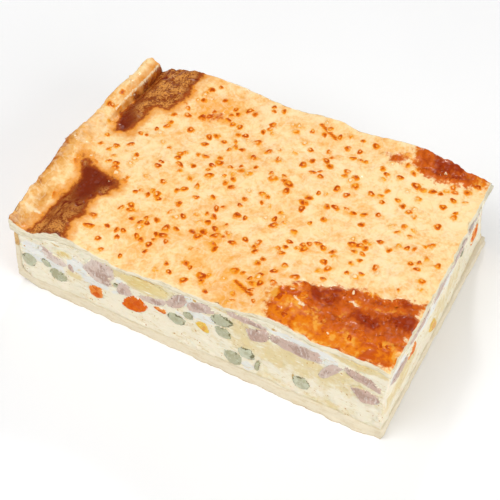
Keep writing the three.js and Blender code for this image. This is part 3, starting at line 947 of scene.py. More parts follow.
    step_at: float = -81.2  # steep inner side of the rim beside the back groove
    step_reach: float = 2.6
    step_edge: float = 0.35

    def inside(self, patches: tuple[Patch, ...], x: Array, y: Array) -> Array:
        """Depth inside the nearest of several patches."""
        return np.max([patch.depth(x, y) for patch in patches], axis=0)

    def rim_share(self, x: Array) -> Array:
        """Share from 1 on the rim to 0 on the sheet."""
        return 1 - smoothstep(-82, -77, x)

    def back_share(self, y: Array) -> Array:
        """Share from 1 beside the back groove to 0 on the front half."""
        return smoothstep(2, 18, y)

    def creases(self, x: Array, y: Array) -> Array:
        """Cracks that run along the grooves, 1 in a crack and 0 away from it."""
        return self.groove_cracks.at(flat_points(x, 0.45 * y))

    def lumps(self, x: Array, y: Array) -> Array:
        """Lumps of the browned bulges, from about -1 to 1."""
        return sum(part.at(flat_points(x, y)) for part in self.lump_parts)

    def flow(self, x: Array, y: Array) -> Array:
        """Streaks where the dough was stretched, from about -1 to 1."""
        bend = self.stretch_bend.at(flat_points(x, y))
        return self.stretch.at(flat_points((x + y) / 9, (x - y) / 1.4 + bend))

    def fold(self, x: Array, y: Array) -> Array:
        """Share from 1 on a fold of the sheet to 0 away from it."""
        parts = (Slit(*pair, self.fold_width) for line in self.folds for pair in itertools.pairwise(line))
        return np.max([part.nearness(x, y) for part in parts], axis=0)

    def relief(self, x: Array, y: Array) -> Array:
        """Fine relief on the lid's large form.

        Args:
            x: Places along the slice.
            y: Places across it.

        Returns:
            Height to add, in millimetres.
        """
        at = flat_points(x, y)
        stray, back = self.stray.at(at), self.back_share(y)
        groove = smoothstep(-1.5, 1.5, self.inside(self.grooves, x, y) + stray)
        bulge = smoothstep(-1.2, 1.6, self.inside(self.bulges, x, y) + stray)
        core = smoothstep(-1.0, 1.5, self.inside(self.cores, x, y) + 1.5 * stray)
        total = sum(part.at(at) for part in self.waviness) + self.wear.height(x, y)
        sheet = self.stretch_height * self.flow(x, y) + self.fold_height * self.fold(x, y)
        total += (1 - bulge) * (sheet - self.wrinkle_depth * self.wrinkles.at(at))
        lump = self.lumps(x, y) - self.split_depth * self.splits.at(at)
        total += bulge * (self.bulge_rise[0] + self.bulge_rise[1] * lump)
        total += core * (self.core_rise[0] + self.core_rise[1] * lump)
        sink = self.groove_sink[0] + self.groove_sink[1] * self.creases(x, y)
        total += groove * (sum(part.at(at) for part in self.charred) - sink)
        # Beside the back groove the rim's inner side is drawn together into a step
        away = x - self.step_at
        drawn = x + self.step_reach * np.tanh(away / self.step_edge) * np.exp(-np.abs(away) / self.step_reach)
        total += back * (self.lid.height(drawn, y) - self.lid.height(x, y))
        # The rim is flaky, but hardly on that step
        flaky = self.flakes.at(at) + self.flake_step * smoothstep(-0.06, 0.06, self.flake_edges.at(at))
        return total + self.rim_share(x) * flaky * (1 - 0.9 * back * smoothstep(-86, -84, x))

    def height(self, x: Array, y: Array) -> Array:
        """Height of the lid's top with its relief."""
        return self.lid.height(x, y) + self.relief(x, y)

    def fields(self, x: Array, y: Array) -> dict[str, Array]:
        """Fields that the lid's finish reads.

        Args:
            x: Places along the slice.
            y: Places across it.

        Returns:
            The fields by name; groove and bulge are depths inside the patches in millimetres.
        """
        groove, bulge, core = (self.inside(part, x, y) for part in (self.grooves, self.bulges, self.cores))
        lump, shade = self.lumps(x, y), self.groove_shade.at(flat_points(x, y))
        tint, rim, scorch, dark = (
            sum(swell.height(x, y) for swell in swells)
            for swells in (self.tints, self.toasts, self.scorches, self.caramel)
        )
        streak, bare_and_highlight = (
            sum(slit.nearness(x, y) for slit in slits) for slits in (self.dark_slits, self.bare_and_highlight_slits)
        )
        core = (0.6 + 0.35 * lump) * smoothstep(-3.5, 3.5, core) - smoothstep(-2, -8, core)
        return {
            "tint": self.gold + tint + 0.1 * self.flow(x, y) - 0.3 * self.fold(x, y),
            "rim": rim,
            "scorch": scorch + 0.7 * self.creases(x, y),
            "groove": groove + shade - 0.8 * self.rim_share(x) * self.back_share(y),
            "bulge": bulge,
            "lump": lump,
            "core": core * (1 + dark / 0.6),
            "blister": streak,
            "bare_and_highlight": bare_and_highlight,
        }


@dataclass(frozen=True)
class BlisterForm:
    """Form of the blisters of one look.

    They are a share of all. Their crest has a radius and a reach, as parts of their own radius, and their
    ring and their middle are more or less brown.
    """

    share: float
    crest: float
    reach: float
    ring: float
    middle: float

    def height(self, radius: Array) -> Array:
        """Height at a share of the radius, 1 at the crest."""
        return np.exp(-(((radius - self.crest) / self.reach) ** 2))

    def browning(self, radius: Array) -> Array:
        """Browning at a share of the radius, fading at the foot."""
        across = self.middle + (self.ring - self.middle) * smoothstep(0.1, 0.45, radius)
        return (1 - smoothstep(0.45, 1.3, radius)) * across


class BlisterLook(Enum):
    """How a blister baked."""

    RING = BlisterForm(0.4, 0.55, 0.38, 0.98, 0.12)
    DOME = BlisterForm(0.4, 0.2, 0.55, 0.74, 1.15)
    FAINT = BlisterForm(0.12, 0.5, 0.45, 0.42, 0.1)
    POPPED = BlisterForm(0.08, 0.6, 0.35, 0.3, -0.2)


@dataclass(frozen=True)
class Blister:
    """One blister of the glaze: its place, turn and size."""

    x: float
    y: float
    turn: float
    size: float


@dataclass(frozen=True)
class GlazeBlisters:
    """Small blisters that rose and browned in the glaze: the solid's large ones and finer ones between."""

    surface: LidSurface
    # The solid's blisters: their size, their uneven grid, and their chances on the open sheet, in the dark
    # patches and on the rim
    half_sizes: Point = (1.95, 1.65)
    uneven: float = 0.22
    height: float = 0.55
    cell: float = 11.2
    margin: float = 4.0
    jitter: float = 0.42
    chances: tuple[float, float, float] = (0.9, 0.12, 0.3)
    twin_chance: float = 0.2
    twin_step: float = 3.9
    browned: tuple[Swell, ...] = (Swell(-69, 36, 10, 28, 1), Swell(-66, -36, 10, 24, 1))
    rim_end: float = -78.0
    random: tuple[int, int, int] = (20117, 16807, 2147483647)
    # The finer ones: companions of those, more of them where they crowd, and others on a finer grid
    companion_chance: float = 0.75
    companion_step: Point = (2.6, 3.8)
    crowded: tuple[Swell, ...] = (Swell(-18, -38, 38, 18, 2), Swell(-44, 42, 12, 12, 2.4))
    fine_cell: float = 6.6
    fine_chance: float = 0.7
    fine_size: Point = (0.68, 1.05)
    clearance: float = 2.5
    # The rings of one blister, from its middle to its foot and back under it, and how uneven it is
    radii: tuple[float, ...] = (0.1, 0.3, 0.46, 0.6, 0.78, 0.94, 1.1, 1.3, 0.6, 0.1)
    under_rings: int = 2
    sides: int = 16
    sunk: float = 0.3
    steepest: float = 1.2
    wobbles: tuple[Point, ...] = ((2, 0.1), (3, 0.09), (5, 0.04))  # waves round it, and how far they reach
    narrowing: Point = (0.8, 0.3)
    pimples: Relief = Relief(0.04, 0.9, 61)
    # How brown it is: at least, by its own tone, on the bulges, in a crowd and on one side more than another
    least_brown: float = 0.52
    tone_brown: float = 0.54
    bulge_brown: float = 0.6
    crowd_brown: float = 0.12
    lopsided: float = 0.4
    spread: float = 0.22
    spread_reach: float = 1.5
    halo_reach: float = 5.0

    def faded(self, radius: Array) -> Array:
        """Browning round a blister at a share of its radius."""
        return self.spread * np.exp(-((radius / self.spread_reach) ** 2))

    def draws(self) -> Iterator[float]:
        """Endless random draws, the same ones that place the solid's blisters.

        Yields:
            The next draw, from 0 to 1.
        """
        state, factor, modulus = self.random
        while True:
            state = state * factor % modulus
            yield state / modulus

    def chance(self, x: float, y: float) -> float:
        """Chance of a blister at a place: less on the rim and in the dark patches.

        Args:
            x: The place along the slice.
            y: The place across it.

        Returns:
            The chance, from 0 to 1.
        """
        open_chance, browned_chance, rim_chance = self.chances
        if x < self.rim_end:
            return rim_chance
        dark = any(math.hypot((x - b.x) / b.reach_x, (y - b.y) / b.reach_y) < 1 for b in self.browned)
        return browned_chance if dark else open_chance

    def crowding(self, blister: Blister) -> float:
        """How close the blisters lie where one is, 0 where they are loose."""
        return float(sum(crowd.height(blister.x, blister.y) for crowd in self.crowded))

    def large(self) -> list[Blister]:
        """Blisters of the solid, in the order of its draws.

        Returns:
            One blister or a pair for most cells of an even grid.
        """
        form = self.surface.lid.form
        reach_x, reach_y = form.length / 2 - self.margin, form.width / 2 - self.margin
        columns, rows = int(2 * reach_x // self.cell), int(2 * reach_y // self.cell)
        draws, found = self.draws(), []
        for column, row in itertools.product(range(columns), range(rows)):
            move_x, move_y, turn, size, chance, twin, twin_turn = itertools.islice(draws, 7)
            x = (column + 0.5 - columns / 2 + self.jitter * (2 * move_x - 1)) * self.cell
            y = (row + 0.5 - rows / 2 + self.jitter * (2 * move_y - 1)) * self.cell
            if chance > self.chance(x, y):
                continue
            angle, away = 2 * math.pi * turn, 2 * math.pi * twin_turn
            found.append(Blister(x, y, angle, 1 + self.uneven * (2 * size - 1)))
            if twin < self.twin_chance:
                x, y = x + self.twin_step * math.cos(away), y + self.twin_step * math.sin(away)
                size = 1 + self.uneven * (2 * twin / self.twin_chance - 1)
                found.append(Blister(x, y, angle + away, size))
        return [b for b in found if abs(b.x) < reach_x and abs(b.y) < reach_y]

    def fine(self, taken: Sequence[Blister]) -> list[Blister]:
        """Smaller blisters beside the large ones and between them.

        Args:
            taken: The blisters that are there already.

        Returns:
            Blisters that keep clear of those and of each other.
        """
        form = self.surface.lid.form
        random = np.random.default_rng(self.random[0])
        reach_x, reach_y = form.length / 2 - self.margin, form.width / 2 - self.margin
        nearest, furthest = self.companion_step
        smallest, largest = self.fine_size
        tries = []
        for blister in taken:
            for _ in range(1 + round(self.crowding(blister))):
                chance, away, step = random.random(3)
                step = nearest + (furthest - nearest) * step
                away *= 2 * math.pi
                x, y = blister.x + step * math.cos(away), blister.y + step * math.sin(away)
                tries.append((x, y, chance < self.companion_chance))
        columns, rows = (stations(-reach, reach, self.fine_cell) for reach in (reach_x, reach_y))
        for x, y in itertools.product(columns, rows):
            move_x, move_y, chance = random.random(3)
            x, y = x + self.fine_cell * (move_x - 0.5), y + self.fine_cell * (move_y - 0.5)
            tries.append((x, y, chance < self.fine_chance * self.chance(x, y)))
        found = []
        for x, y, drawn in tries:
            turn, size = random.random(2)
            near = min(math.hypot(x - other.x, y - other.y) for other in [*taken, *found])
            if drawn and near > self.clearance and abs(x) < reach_x and abs(y) < reach_y:
                size = smallest + (largest - smallest) * size
                found.append(Blister(x, y, 2 * math.pi * turn, size))
        return found

    @functools.cached_property
    def placed(self) -> list[Blister]:
        """Every blister of the lid.

        Returns:
            The large and fine blisters that lie where the lid isn't steep.
        """
        large = self.large()
        every = large + self.fine(large)
        x, y = np.array([(blister.x, blister.y) for blister in every]).T
        steep = np.abs(self.surface.height(x + 1, y) - self.surface.height(x - 1, y))
        return [blister for blister, rise in zip(every, steep) if rise < self.steepest]

    def halo(self, x: Array, y: Array) -> Array:
        """Browning of the lid close round the blisters.

        Args:
            x: Places along the slice.
            y: Places across it.

        Returns:
            Browning of the nearest blister's edge, fading away from it.
        """
        most = np.zeros(x.shape)
        for blister in self.placed:
            near = np.abs(x - blister.x) < self.halo_reach
            away = np.hypot(x[near] - blister.x, y[near] - blister.y) / (blister.size * self.half_sizes[0])
            most[near] = np.maximum(most[near], self.faded(away))
        return most

    def build(self, finish: Material) -> Object:
        """Makes all the blisters as one piece that lies on the lid.

        Args:
            finish: The blistered glaze.

        Returns:
            The piece, which stands for the blisters of the lid's solid.
        """
        random = np.random.default_rng(self.random[0] + 1)
        angles = np.arange(self.sides) / self.sides * 2 * np.pi
        radii = np.array(self.radii)[:, None]
        looks = list(BlisterLook)
        shares = [look.value.share for look in looks]
        quads = ring_quads(len(self.radii), self.sides)[:, ::-1]
        points, faces, browning, popped = [], [], [], []
        for blister in self.placed:
            look = looks[random.choice(len(looks), p=shares)]
            phase_a, phase_b, tone, narrow = random.random(4)
            waves = zip(self.wobbles, (phase_a, phase_b, narrow))
            wobble = sum((far * np.sin(turns * angles + 6 * phase) for (turns, far), phase in waves), 1)
            along = radii * np.cos(angles) * wobble * self.half_sizes[0] * blister.size
            across = radii * np.sin(angles) * wobble * self.half_sizes[1] * blister.size
            across *= self.narrowing[0] + self.narrowing[1] * narrow
            cos, sin = math.cos(blister.turn), math.sin(blister.turn)
            x, y = blister.x + cos * along - sin * across, blister.y + sin * along + cos * across
            rise = self.height * blister.size * look.value.height(radii)
            rise -= self.sunk * smoothstep(0.9, 1.3, radii)
            z = self.surface.height(x, y) + rise + self.pimples.at(flat_points(x, y))
            # The last rings close it below the lid's surface, under its fourth and its first ring
            z[-self.under_rings:] = z[[3, 0]] - 2 * self.sunk
            start = len(points) * self.sides * len(self.radii)
            points.append(np.stack([x, y, z], axis=-1).reshape(-1, 3))
            lopsided = 1 + self.lopsided * np.sin(angles + 6 * phase_b)
            on_bulge = smoothstep(-1, 2, self.surface.inside(self.surface.bulges, x, y))
            baked = self.least_brown + self.tone_brown * tone + self.bulge_brown * on_bulge
            baked = baked + self.crowd_brown * self.crowding(blister)
            brown = look.value.browning(radii) * baked * lopsided
            browning.append(np.ravel(np.maximum(brown, self.faded(radii))))
            popped.append((look is BlisterLook.POPPED) * np.ravel(smoothstep(0.7, 0.2, radii) + 0 * angles))
            faces.extend(quads + start)
            faces.append(np.arange(self.sides) + start)
            faces.append(np.arange(self.sides)[::-1] + start + self.sides * (len(self.radii) - 1))
        points = np.concatenate(points)
        fields = self.surface.fields(points[:, 0], points[:, 1])
        fields["blister"] = np.concatenate(browning)
        fields["bare_and_highlight"] += np.concatenate(popped)
        fields["cut"] = np.zeros(len(points))
        piece = mesh_piece("lid_blisters", points, faces, fields, finish)
        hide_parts("lid_crust")
        return piece


@dataclass(frozen=True)
class LidCrust:
    """The lid: one closed sheet with its relief, and flaky edges at the cuts and the rim."""

    surface: LidSurface
    blisters: GlazeBlisters
    step: float = 0.78
    rim_step: float = 0.45
    rim_end: float = -76.0
    levels: int = 9
    ragged: Relief = Relief(0.45, 3.5, 51, 4)
    flake: Relief = Relief(0.28, 7, 52, 2)
    flake_thinness: float = 6.0
    rim_flake: Relief = Relief(1.1, 4, 54, 4)
    rim_notch: Relief = Relief(0.5, 2.2, 55, 2)
    rim_inset: float = 0.5
    rounding: float = 0.5
    rim_tuck: float = 2.5
    rim_sag: float = 0.8
    lip_end: float = -86.5
    lip_browning: float = 0.55

    def build(self, finish: Material) -> Object:
        """Makes the lid sheet.

        Args:
            finish: The glazed pastry.

        Returns:
            The piece that stands for the lid's solid.
        """
        lid, form = self.surface.lid, self.surface.lid.form
        rim = stations(-form.length / 2, self.rim_end, self.rim_step)
        sheet_x = np.append(rim[:-1], stations(self.rim_end, form.length / 2, self.step))[:, None]
        sheet_y = stations(-form.width / 2, form.width / 2, self.step)[None, :]
        sheet_x, sheet_y = np.broadcast_arrays(sheet_x, sheet_y)
        x, y = lid.place(sheet_x, sheet_y)
        top, under = self.surface.height(x, y), lid.underside(x, y)
        # Only the outermost rows move outward: -1 or 1 on them and 0 between
        out_x = np.round(sheet_x / (form.length / 2) * 0.5001)
        out_y = np.round(sheet_y / (form.width / 2) * 0.5001)
        on_rim = out_x < 0
        layers = []
        for share in np.linspace(0, 1, self.levels):
            z = under + (top - under) * share
            edge = self.ragged.at(flat_points(x, y))
            edge += self.flake.at(np.stack([x, y, z * self.flake_thinness], axis=-1))
            edge += on_rim * (self.rim_flake.at(np.stack([0 * x, y, z], axis=-1)) - self.rim_inset)
            edge += on_rim * self.rim_notch.at(flat_points(0 * x, y))
            out = lid.ridge * smoothstep(1, 0.7, share) + edge - self.rounding * share**8
            tuck = np.minimum(out_x, 0) * (1 - share) ** 2
            sides = [x + out_x * out - self.rim_tuck * tuck, y + out_y * out]
            layers.append(np.stack([*sides, z + self.rim_sag * tuck], axis=-1))
        block = np.stack(layers, axis=2)
        used, faces = block_skin(block)
        points = block.reshape(-1, 3)[used]
        height, lip, side = (
            np.broadcast_to(values, block.shape[:3]).ravel()[used]
            for values in (
                np.linspace(0, 1, self.levels),
                (sheet_x < self.lip_end)[..., None],
                (out_y != 0)[..., None],
            )
        )
        # The rim's outer lip browned in the tin; the other edges were cut and show crumb
        baked = lip & ~side
        fields = self.surface.fields(points[:, 0], points[:, 1])
        fields["blister"] += self.blisters.halo(points[:, 0], points[:, 1])
        fields["cut"] = (1 - smoothstep(0.8, 1, height)) * ~baked
        fields["rim"] += self.lip_browning * baked * (1 - height)
        piece = mesh_piece("lid_pastry", points, faces, fields, finish)
        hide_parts("lid_crust")
        return piece


# Cut pieces of the filling


class CutFace(Enum):
    """A cut face of the slice: the direction along it, and the direction into the slice."""

    front = ((1, 0), (0, 1))
    end = ((0, 1), (-1, 0))
    back = ((-1, 0), (0, -1))

    @property
    def number(self) -> int:
        """Its place in the order of the faces."""
        return list(CutFace).index(self)

    def local(self, points: Array) -> Array:
        """Turns points of the slice into along, inward and up.

        Args:
            points: Places in the slice's frame.

        Returns:
            The same places in the face's frame.
        """
        along, inward = (points[..., :2] @ np.array(way, float) for way in self.value)
        return np.stack([along, inward, points[..., 2]], axis=-1)

    def depth(self, form: SliceForm, along: Array, up: Array) -> Array:
        """Where the filling's face is.

        Args:
            form: The slice.
            along: Places along the face.
            up: Heights.

        Returns:
            Places measured inward from the slice's middle.
        """
        if self is CutFace.end:
            return -form.cut_end(along, up)
        return np.full(np.shape(along), form.side_set_back - form.width / 2)

    def world(self, points: Array) -> Array:
        """Turns along, inward and up back into points of the slice.

        Args:
            points: Places in the face's frame.

        Returns:
            The same places in the slice's frame.
        """
        ways = [np.array(way, float) for way in self.value]
        plan = points[..., :1] * ways[0] + points[..., 1:2] * ways[1]
        return np.concatenate([plan, points[..., 2:]], axis=-1)


@dataclass(frozen=True)
class MorselKind:
    """How one kind of morsel is shaped at the cut.

    It stands proud of the egg, turns down to it from a share of its radius, has bumps of a height and a
    size, and an outline that strays outward by a share of its radius.
    """

    finish: CutMorsel
    proud: float
    edge: float
    rough: float
    rough_size: float
    ragged: float


MORSELS = {
    # Dull pink meat with pale fat along its fibres and a brown edge
    "bacon": MorselKind(
        CutMorsel(
            name="cooked_bacon", roughness=0.4, flesh="#CBAC9C", pale="#DECDC1", streak="#E4D8D0",
            heart="#B49484", edge="#9C7C70", edge_start=0.98, cloud=5.0, fibre=(1.2, 4),
        ),
        proud=0.3, edge=0.8, rough=0.24, rough_size=3.0, ragged=0.16,
    ),
    # Greyed green flesh under a darker satin skin, its dark olive edge partly skin and partly painted shade
    "pea": MorselKind(
        CutMorsel(
            name="cooked_pea", roughness=0.34, flesh="#A8A582", pale="#CBCDB4", streak="#CDCEB6",
            heart="#B4B292", edge="#6C6640", edge_start=0.8, cloud=2.4, speck="#6E6840",
        ),
        proud=0.45, edge=0.6, rough=0.2, rough_size=2.4, ragged=0.1,
    ),
    # The one bright colour of the cut, orange all through
    "carrot": MorselKind(
        CutMorsel(
            name="cooked_carrot", roughness=0.45, specular=0.06, flesh="#DE6604", pale="#EE9C4C",
            streak="#E67C1C", heart="#D65600", edge="#A84A0A", edge_start=1.1, cloud=2.6, fibre=(1, 2),
            speck="#B84606",
        ),
        proud=0.4, edge=0.8, rough=0.24, rough_size=2.4, ragged=0.24,
    ),
    # Clear yellow under a shiny skin, with an orange heart
    "corn": MorselKind(
        CutMorsel(
            name="cooked_corn", roughness=0.32, flesh="#E8BE46", pale="#F0D06C", streak="#F2D884",
            heart="#E09A34", edge="#EBC75A", edge_start=1.0, cloud=2.4, speck="#D0902A",
        ),
        proud=0.4, edge=0.65, rough=0.12, rough_size=2.0, ragged=0.08,
    ),
    # Chalky pale yellow, smeared the way the knife went
    "yolk": MorselKind(
        CutMorsel(
            name="baked_yolk", roughness=0.62, flesh="#E8D297", pale="#F1E6C4", streak="#EFE1B4",
            heart="#E2C784", edge="#DDBB6C", edge_start=1.1, cloud=4.0, fibre=(4, 1), speck="#CFA352",
        ),
        proud=0.12, edge=0.6, rough=0.16, rough_size=2.2, ragged=0.16,
    ),
}
# How pale a morsel is where it isn't drawn by lot
PALENESS = {
    "pea_front_02": 0.6, "pea_front_09": 0.5, "pea_front_10": 1.0, "pea_front_11": -0.4,
    "pea_front_12": 0.95, "carrot_front_01": 0.7, "carrot_front_02": -0.3, "carrot_front_03": 1.8,
    "carrot_end_01": 0.8, "carrot_end_02": 1.2, "bacon_front_01": 1.0, "yolk_front_01": 0.1,
    "yolk_front_02": 1.2,
}
MORSEL_SEEDS = (100, 7)  # of the first morsel, and the step from each to the next


@dataclass(frozen=True)
class EggPatch:
    """A part of a cut face where the egg is whiter, yellower or stained: its place, reach and amount."""

    along: float
    up: float
    reach_along: float
    reach_up: float
    amount: float

    def weight(self, along: Array, up: Array) -> Array:
        """How strongly it shows at a place of the face."""
        off = ((along - self.along) / self.reach_along) ** 2 + ((up - self.up) / self.reach_up) ** 2
        return np.exp(-off * off)


@dataclass(frozen=True)
class EggMix:
    """Where the egg is white, mixed or yolky over the cut faces, where it is stained, and the painted shade
    of a small hollow.

    Each group of patches has those of the front, the end and the back.
    """

    ground: float = 0.3
    # White below 0 and yolk above
    shares: tuple[tuple[EggPatch, ...], ...] = (
        (
            EggPatch(-76, 25.5, 6.5, 5.5, -1), EggPatch(-54.5, 27, 4.5, 5, -1),
            EggPatch(-47, 21.5, 6, 2.6, -1), EggPatch(-32.5, 30, 2.5, 2.5, -0.9),
            EggPatch(0, 36.5, 3, 3.5, -1), EggPatch(7, 29.5, 6, 3, -0.9), EggPatch(50, 40.2, 13, 1.4, -1),
            EggPatch(63, 36, 4.5, 4.5, -1), EggPatch(28, 9.5, 3, 2.5, -0.8),
            EggPatch(-66, 21, 4, 3, -0.8), EggPatch(-37, 21, 3, 2, -0.6),
            EggPatch(-3.5, 25, 2.5, 2, -0.6), EggPatch(45, 26, 25, 7, 0.5), EggPatch(24, 34, 5, 4, 0.5),
            EggPatch(72, 27, 14, 6, 0.42), EggPatch(76, 41.5, 12, 2, 0.8), EggPatch(16, 41.5, 6, 2, 0.8),
            EggPatch(-24, 35, 17, 5, 0.7), EggPatch(-56, 21, 4, 2.4, 0.6), EggPatch(65, 6, 5, 4, 0.4),
            EggPatch(37, 7, 4, 4, 0.35),
        ),
        (
            EggPatch(-48, 34, 8, 4, -0.9), EggPatch(-14, 30, 9, 4, -0.9), EggPatch(10, 30, 10, 4, -0.8),
            EggPatch(46, 32, 8, 5, -0.8), EggPatch(-40, 18, 16, 6, 0.5), EggPatch(10, 17, 20, 6, 0.45),
            EggPatch(26, 38, 12, 2, 0.7), EggPatch(-30, 39, 10, 2, 0.6),
        ),
        (
            EggPatch(-58, 30, 9, 5, -1), EggPatch(-30, 27, 8, 4, -0.9), EggPatch(20, 36, 8, 3, -1),
            EggPatch(46, 29, 9, 4, -0.9), EggPatch(74, 34, 8, 4, -0.9), EggPatch(-10, 16, 22, 6, 0.5),
            EggPatch(38, 14, 18, 5, 0.4), EggPatch(-20, 38, 16, 2.5, 0.9), EggPatch(60, 38, 12, 2, 0.7),
        ),
    )
    # Brown seams where juices ran, and first on the front, painted shade of a small hollow under the lid
    stains_and_hollow_shade: tuple[tuple[EggPatch, ...], ...] = (
        (
            # The first spot is painted shade of a small hollow under the lid
            EggPatch(-64, 36.2, 3.4, 1.2, 1), EggPatch(40, 41.4, 2, 0.9, 1),
            EggPatch(-21, 37.6, 6, 0.9, 0.9), EggPatch(4, 38.6, 1.2, 0.8, 1.1),
            EggPatch(-55, 22.8, 2, 0.9, 0.9), EggPatch(61, 11, 1.2, 0.6, 0.9),
            EggPatch(70.5, 19.6, 0.9, 0.7, 0.9), EggPatch(49, 16, 0.7, 2.4, 1.1),
            EggPatch(-52, 15, 1, 3, 0.9), EggPatch(-54, 18.8, 0.8, 0.6, 1),
            EggPatch(-26, 26, 1.6, 0.7, 0.8), EggPatch(-6.6, 33.4, 0.8, 0.6, 0.9),
            EggPatch(67.6, 22.6, 0.9, 0.8, 0.8), EggPatch(-11, 18.8, 1, 0.7, 0.9),
            EggPatch(-86, 29, 1, 3, 0.9),
        ),
        (EggPatch(-20, 22, 1.4, 0.8, 0.9), EggPatch(8, 37, 3, 0.7, 0.9), EggPatch(34, 20, 1, 1.4, 0.8)),
        (
            EggPatch(-62, 34.6, 4, 0.9, 0.9), EggPatch(-8, 37, 4, 0.8, 0.9),
            EggPatch(16, 24, 1, 1.6, 0.8), EggPatch(56, 25, 1.6, 0.8, 0.9),
            EggPatch(-38, 12, 1, 0.8, 0.8),
        ),
    )
    # Egg that is tinged by bacon behind it
    meats: tuple[tuple[EggPatch, ...], ...] = (
        (EggPatch(84, 24, 4, 3, 0.7),),
        (
            EggPatch(-47, 31.5, 9, 2.6, 1), EggPatch(-26, 37.5, 12, 3, 1), EggPatch(-8, 39, 6, 4, 1),
            EggPatch(9, 37.5, 12, 3, 1), EggPatch(28, 40, 11, 3.6, 1.1),
        ),
        (EggPatch(-40, 36, 10, 2.6, 0.9), EggPatch(30, 33, 10, 2.4, 0.8)),
    )

    def found(
        self, groups: tuple[tuple[EggPatch, ...], ...], side: Array, points: Array
    ) -> Iterator[tuple[Array, float]]:
        """Weight and amount of each patch over the cut faces.

        Args:
            groups: The patches of each face.
            side: The number of the face that each point is on.
            points: Places on the faces.

        Yields:
            How strongly the next patch shows at each point, and its amount.
        """
        for face, patches in zip(CutFace, groups):
            local = face.local(points)
            for patch in patches:
                yield (side == face.number) * patch.weight(local[..., 0], local[..., 2]), patch.amount

    def fields(self, side: Array, points: Array) -> dict[str, Array]:
        """Fields that the egg's finish reads.

        Args:
            side: The number of the face that each point is on.
            points: Places on the faces.

        Returns:
            The share of yolk, from -1 for white to 1, and how far the egg is stained by juices and by bacon,
            with the painted shade of a small hollow among the stains.
        """
        shares = list(self.found(self.shares, side, points))
        total = sum(weight * amount for weight, amount in shares)
        yolk = total / (self.ground + sum(weight for weight, _ in shares))
        seam, pink = (
            sum(weight * amount for weight, amount in self.found(groups, side, points))
            for groups in (self.stains_and_hollow_shade, self.meats)
        )
        return {"yolk": yolk, "seam": seam, "pink": pink}


@dataclass(frozen=True)
class Morsel:
    """One cut piece of bacon, pea, carrot, corn or yolk, roughened on the outline of its solid."""

    node: str
    sides: int = 56
    front_radii: tuple[float, ...] = (0.06, 0.2, 0.34, 0.46, 0.57, 0.66, 0.74, 0.81, 0.87, 0.92, 0.96, 1.0)
    back_rows: tuple[Point, ...] = ((1.0, 0.25), (0.9, 0.5), (0.5, 1.0))  # radius, and share of the depth
    most_pale: float = 0.7
    sunk: float = 0.05

    @property
    def kind(self) -> str:
        """Kind of morsel, from the solid's name."""
        return self.node.split("_")[0]

    @property
    def face(self) -> CutFace:
        """Cut face that it shows in, from the solid's name."""
        return CutFace[self.node.split("_")[1]]

    def rings(self) -> list[Array]:
        """Outlines of the solid from its cut front to its hidden end.

        Returns:
            Each outline's points in the face's frame, in order round it.
        """
        vertices = np.array([v.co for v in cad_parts[self.node].data.vertices]) / MM
        points = np.unique(np.round(self.face.local(vertices), 3), axis=0)
        rings = []
        for depth in np.unique(np.round(points[:, 1], 1)):
            ring = points[np.abs(points[:, 1] - depth) < 0.09]
            middle = ring.mean(axis=0)
            rings.append(ring[np.argsort(np.arctan2(ring[:, 2] - middle[2], ring[:, 0] - middle[0]))])
        return rings

    def outline(self) -> Array:
        """Smooth outline of the solid's widest section.

        Returns:
            Points along and up the face, in order round the outline.
        """
        corners = self.rings()[1][:, [0, 2]]
        place = np.arange(self.sides) / self.sides * len(corners)
        start, part = place.astype(int), (place % 1)[:, None]
        a, b, c, d = (corners[(start + k) % len(corners)] for k in (-1, 0, 1, 2))
        curve = 2 * b + (c - a) * part + (2 * a - 5 * b + 4 * c - d) * part**2
        return 0.5 * (curve + (3 * b - a - 3 * c + d) * part**3)

    def build(self, form: SliceForm, mix: EggMix, finish: Material, seed: int) -> Object:
        """Makes the morsel.

        Args:
            form: The slice, whose cut face the morsel follows.
            mix: The egg that runs over its edge.
            finish: The material of its kind.
            seed: Makes its roughness and tone its own.

        Returns:
            The piece that stands for the solid.
        """
        kind, outline = MORSELS[self.kind], self.outline()
        depth = np.ptp([ring[:, 1].mean() for ring in self.rings()])
        middle = outline.mean(axis=0)
        angles = np.arange(self.sides) / self.sides * 2 * np.pi
        circle = np.stack([np.cos(angles), np.sin(angles), 0 * angles + seed], axis=-1)
        # The outline strays, its rings dome out of the egg and turn down to it, and more close it behind
        stray = kind.ragged * (0.5 + bumps(circle * 3, 2.2, seed, 4))
        reach = (outline - middle) * (1 + stray)[:, None]
        rows = [(radius, radius) for radius in self.front_radii]
        rows += [(radius, 1.0) for radius, _ in self.back_rows]
        radius, rim = (np.array(values)[:, None] for values in zip(*rows))
        along, up = middle[0] + reach[:, 0] * radius, middle[1] + reach[:, 1] * radius
        inward = -kind.proud + (kind.proud + self.sunk) * smoothstep(kind.edge, 1.0, rim) + 0 * along
        inward += kind.rough * bumps(flat_points(along, up), kind.rough_size, seed) * (rim < 0.97)
        inward[len(self.front_radii):] += depth * np.array([[share] for _, share in self.back_rows])
        points = np.stack([along, self.face.depth(form, along, up) + inward, up], axis=-1)
        last = self.sides * (len(rows) - 1)
        caps = np.arange(self.sides)
        faces = [*ring_quads(len(rows), self.sides)[:, ::-1], caps, caps[::-1] + last]
        points = self.face.world(points).reshape(-1, 3)
        tone = PALENESS.get(self.node, self.most_pale * np.random.default_rng(seed).random())
        fields = {"rim": np.broadcast_to(rim, along.shape), "tone": np.full(along.size, tone)}
        fields |= mix.fields(np.full(along.size, self.face.number), points)
        piece = mesh_piece(self.node + "_cut", points, faces, fields, finish)
        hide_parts(self.node)
        return (piece, self.kind)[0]


# Egg filling


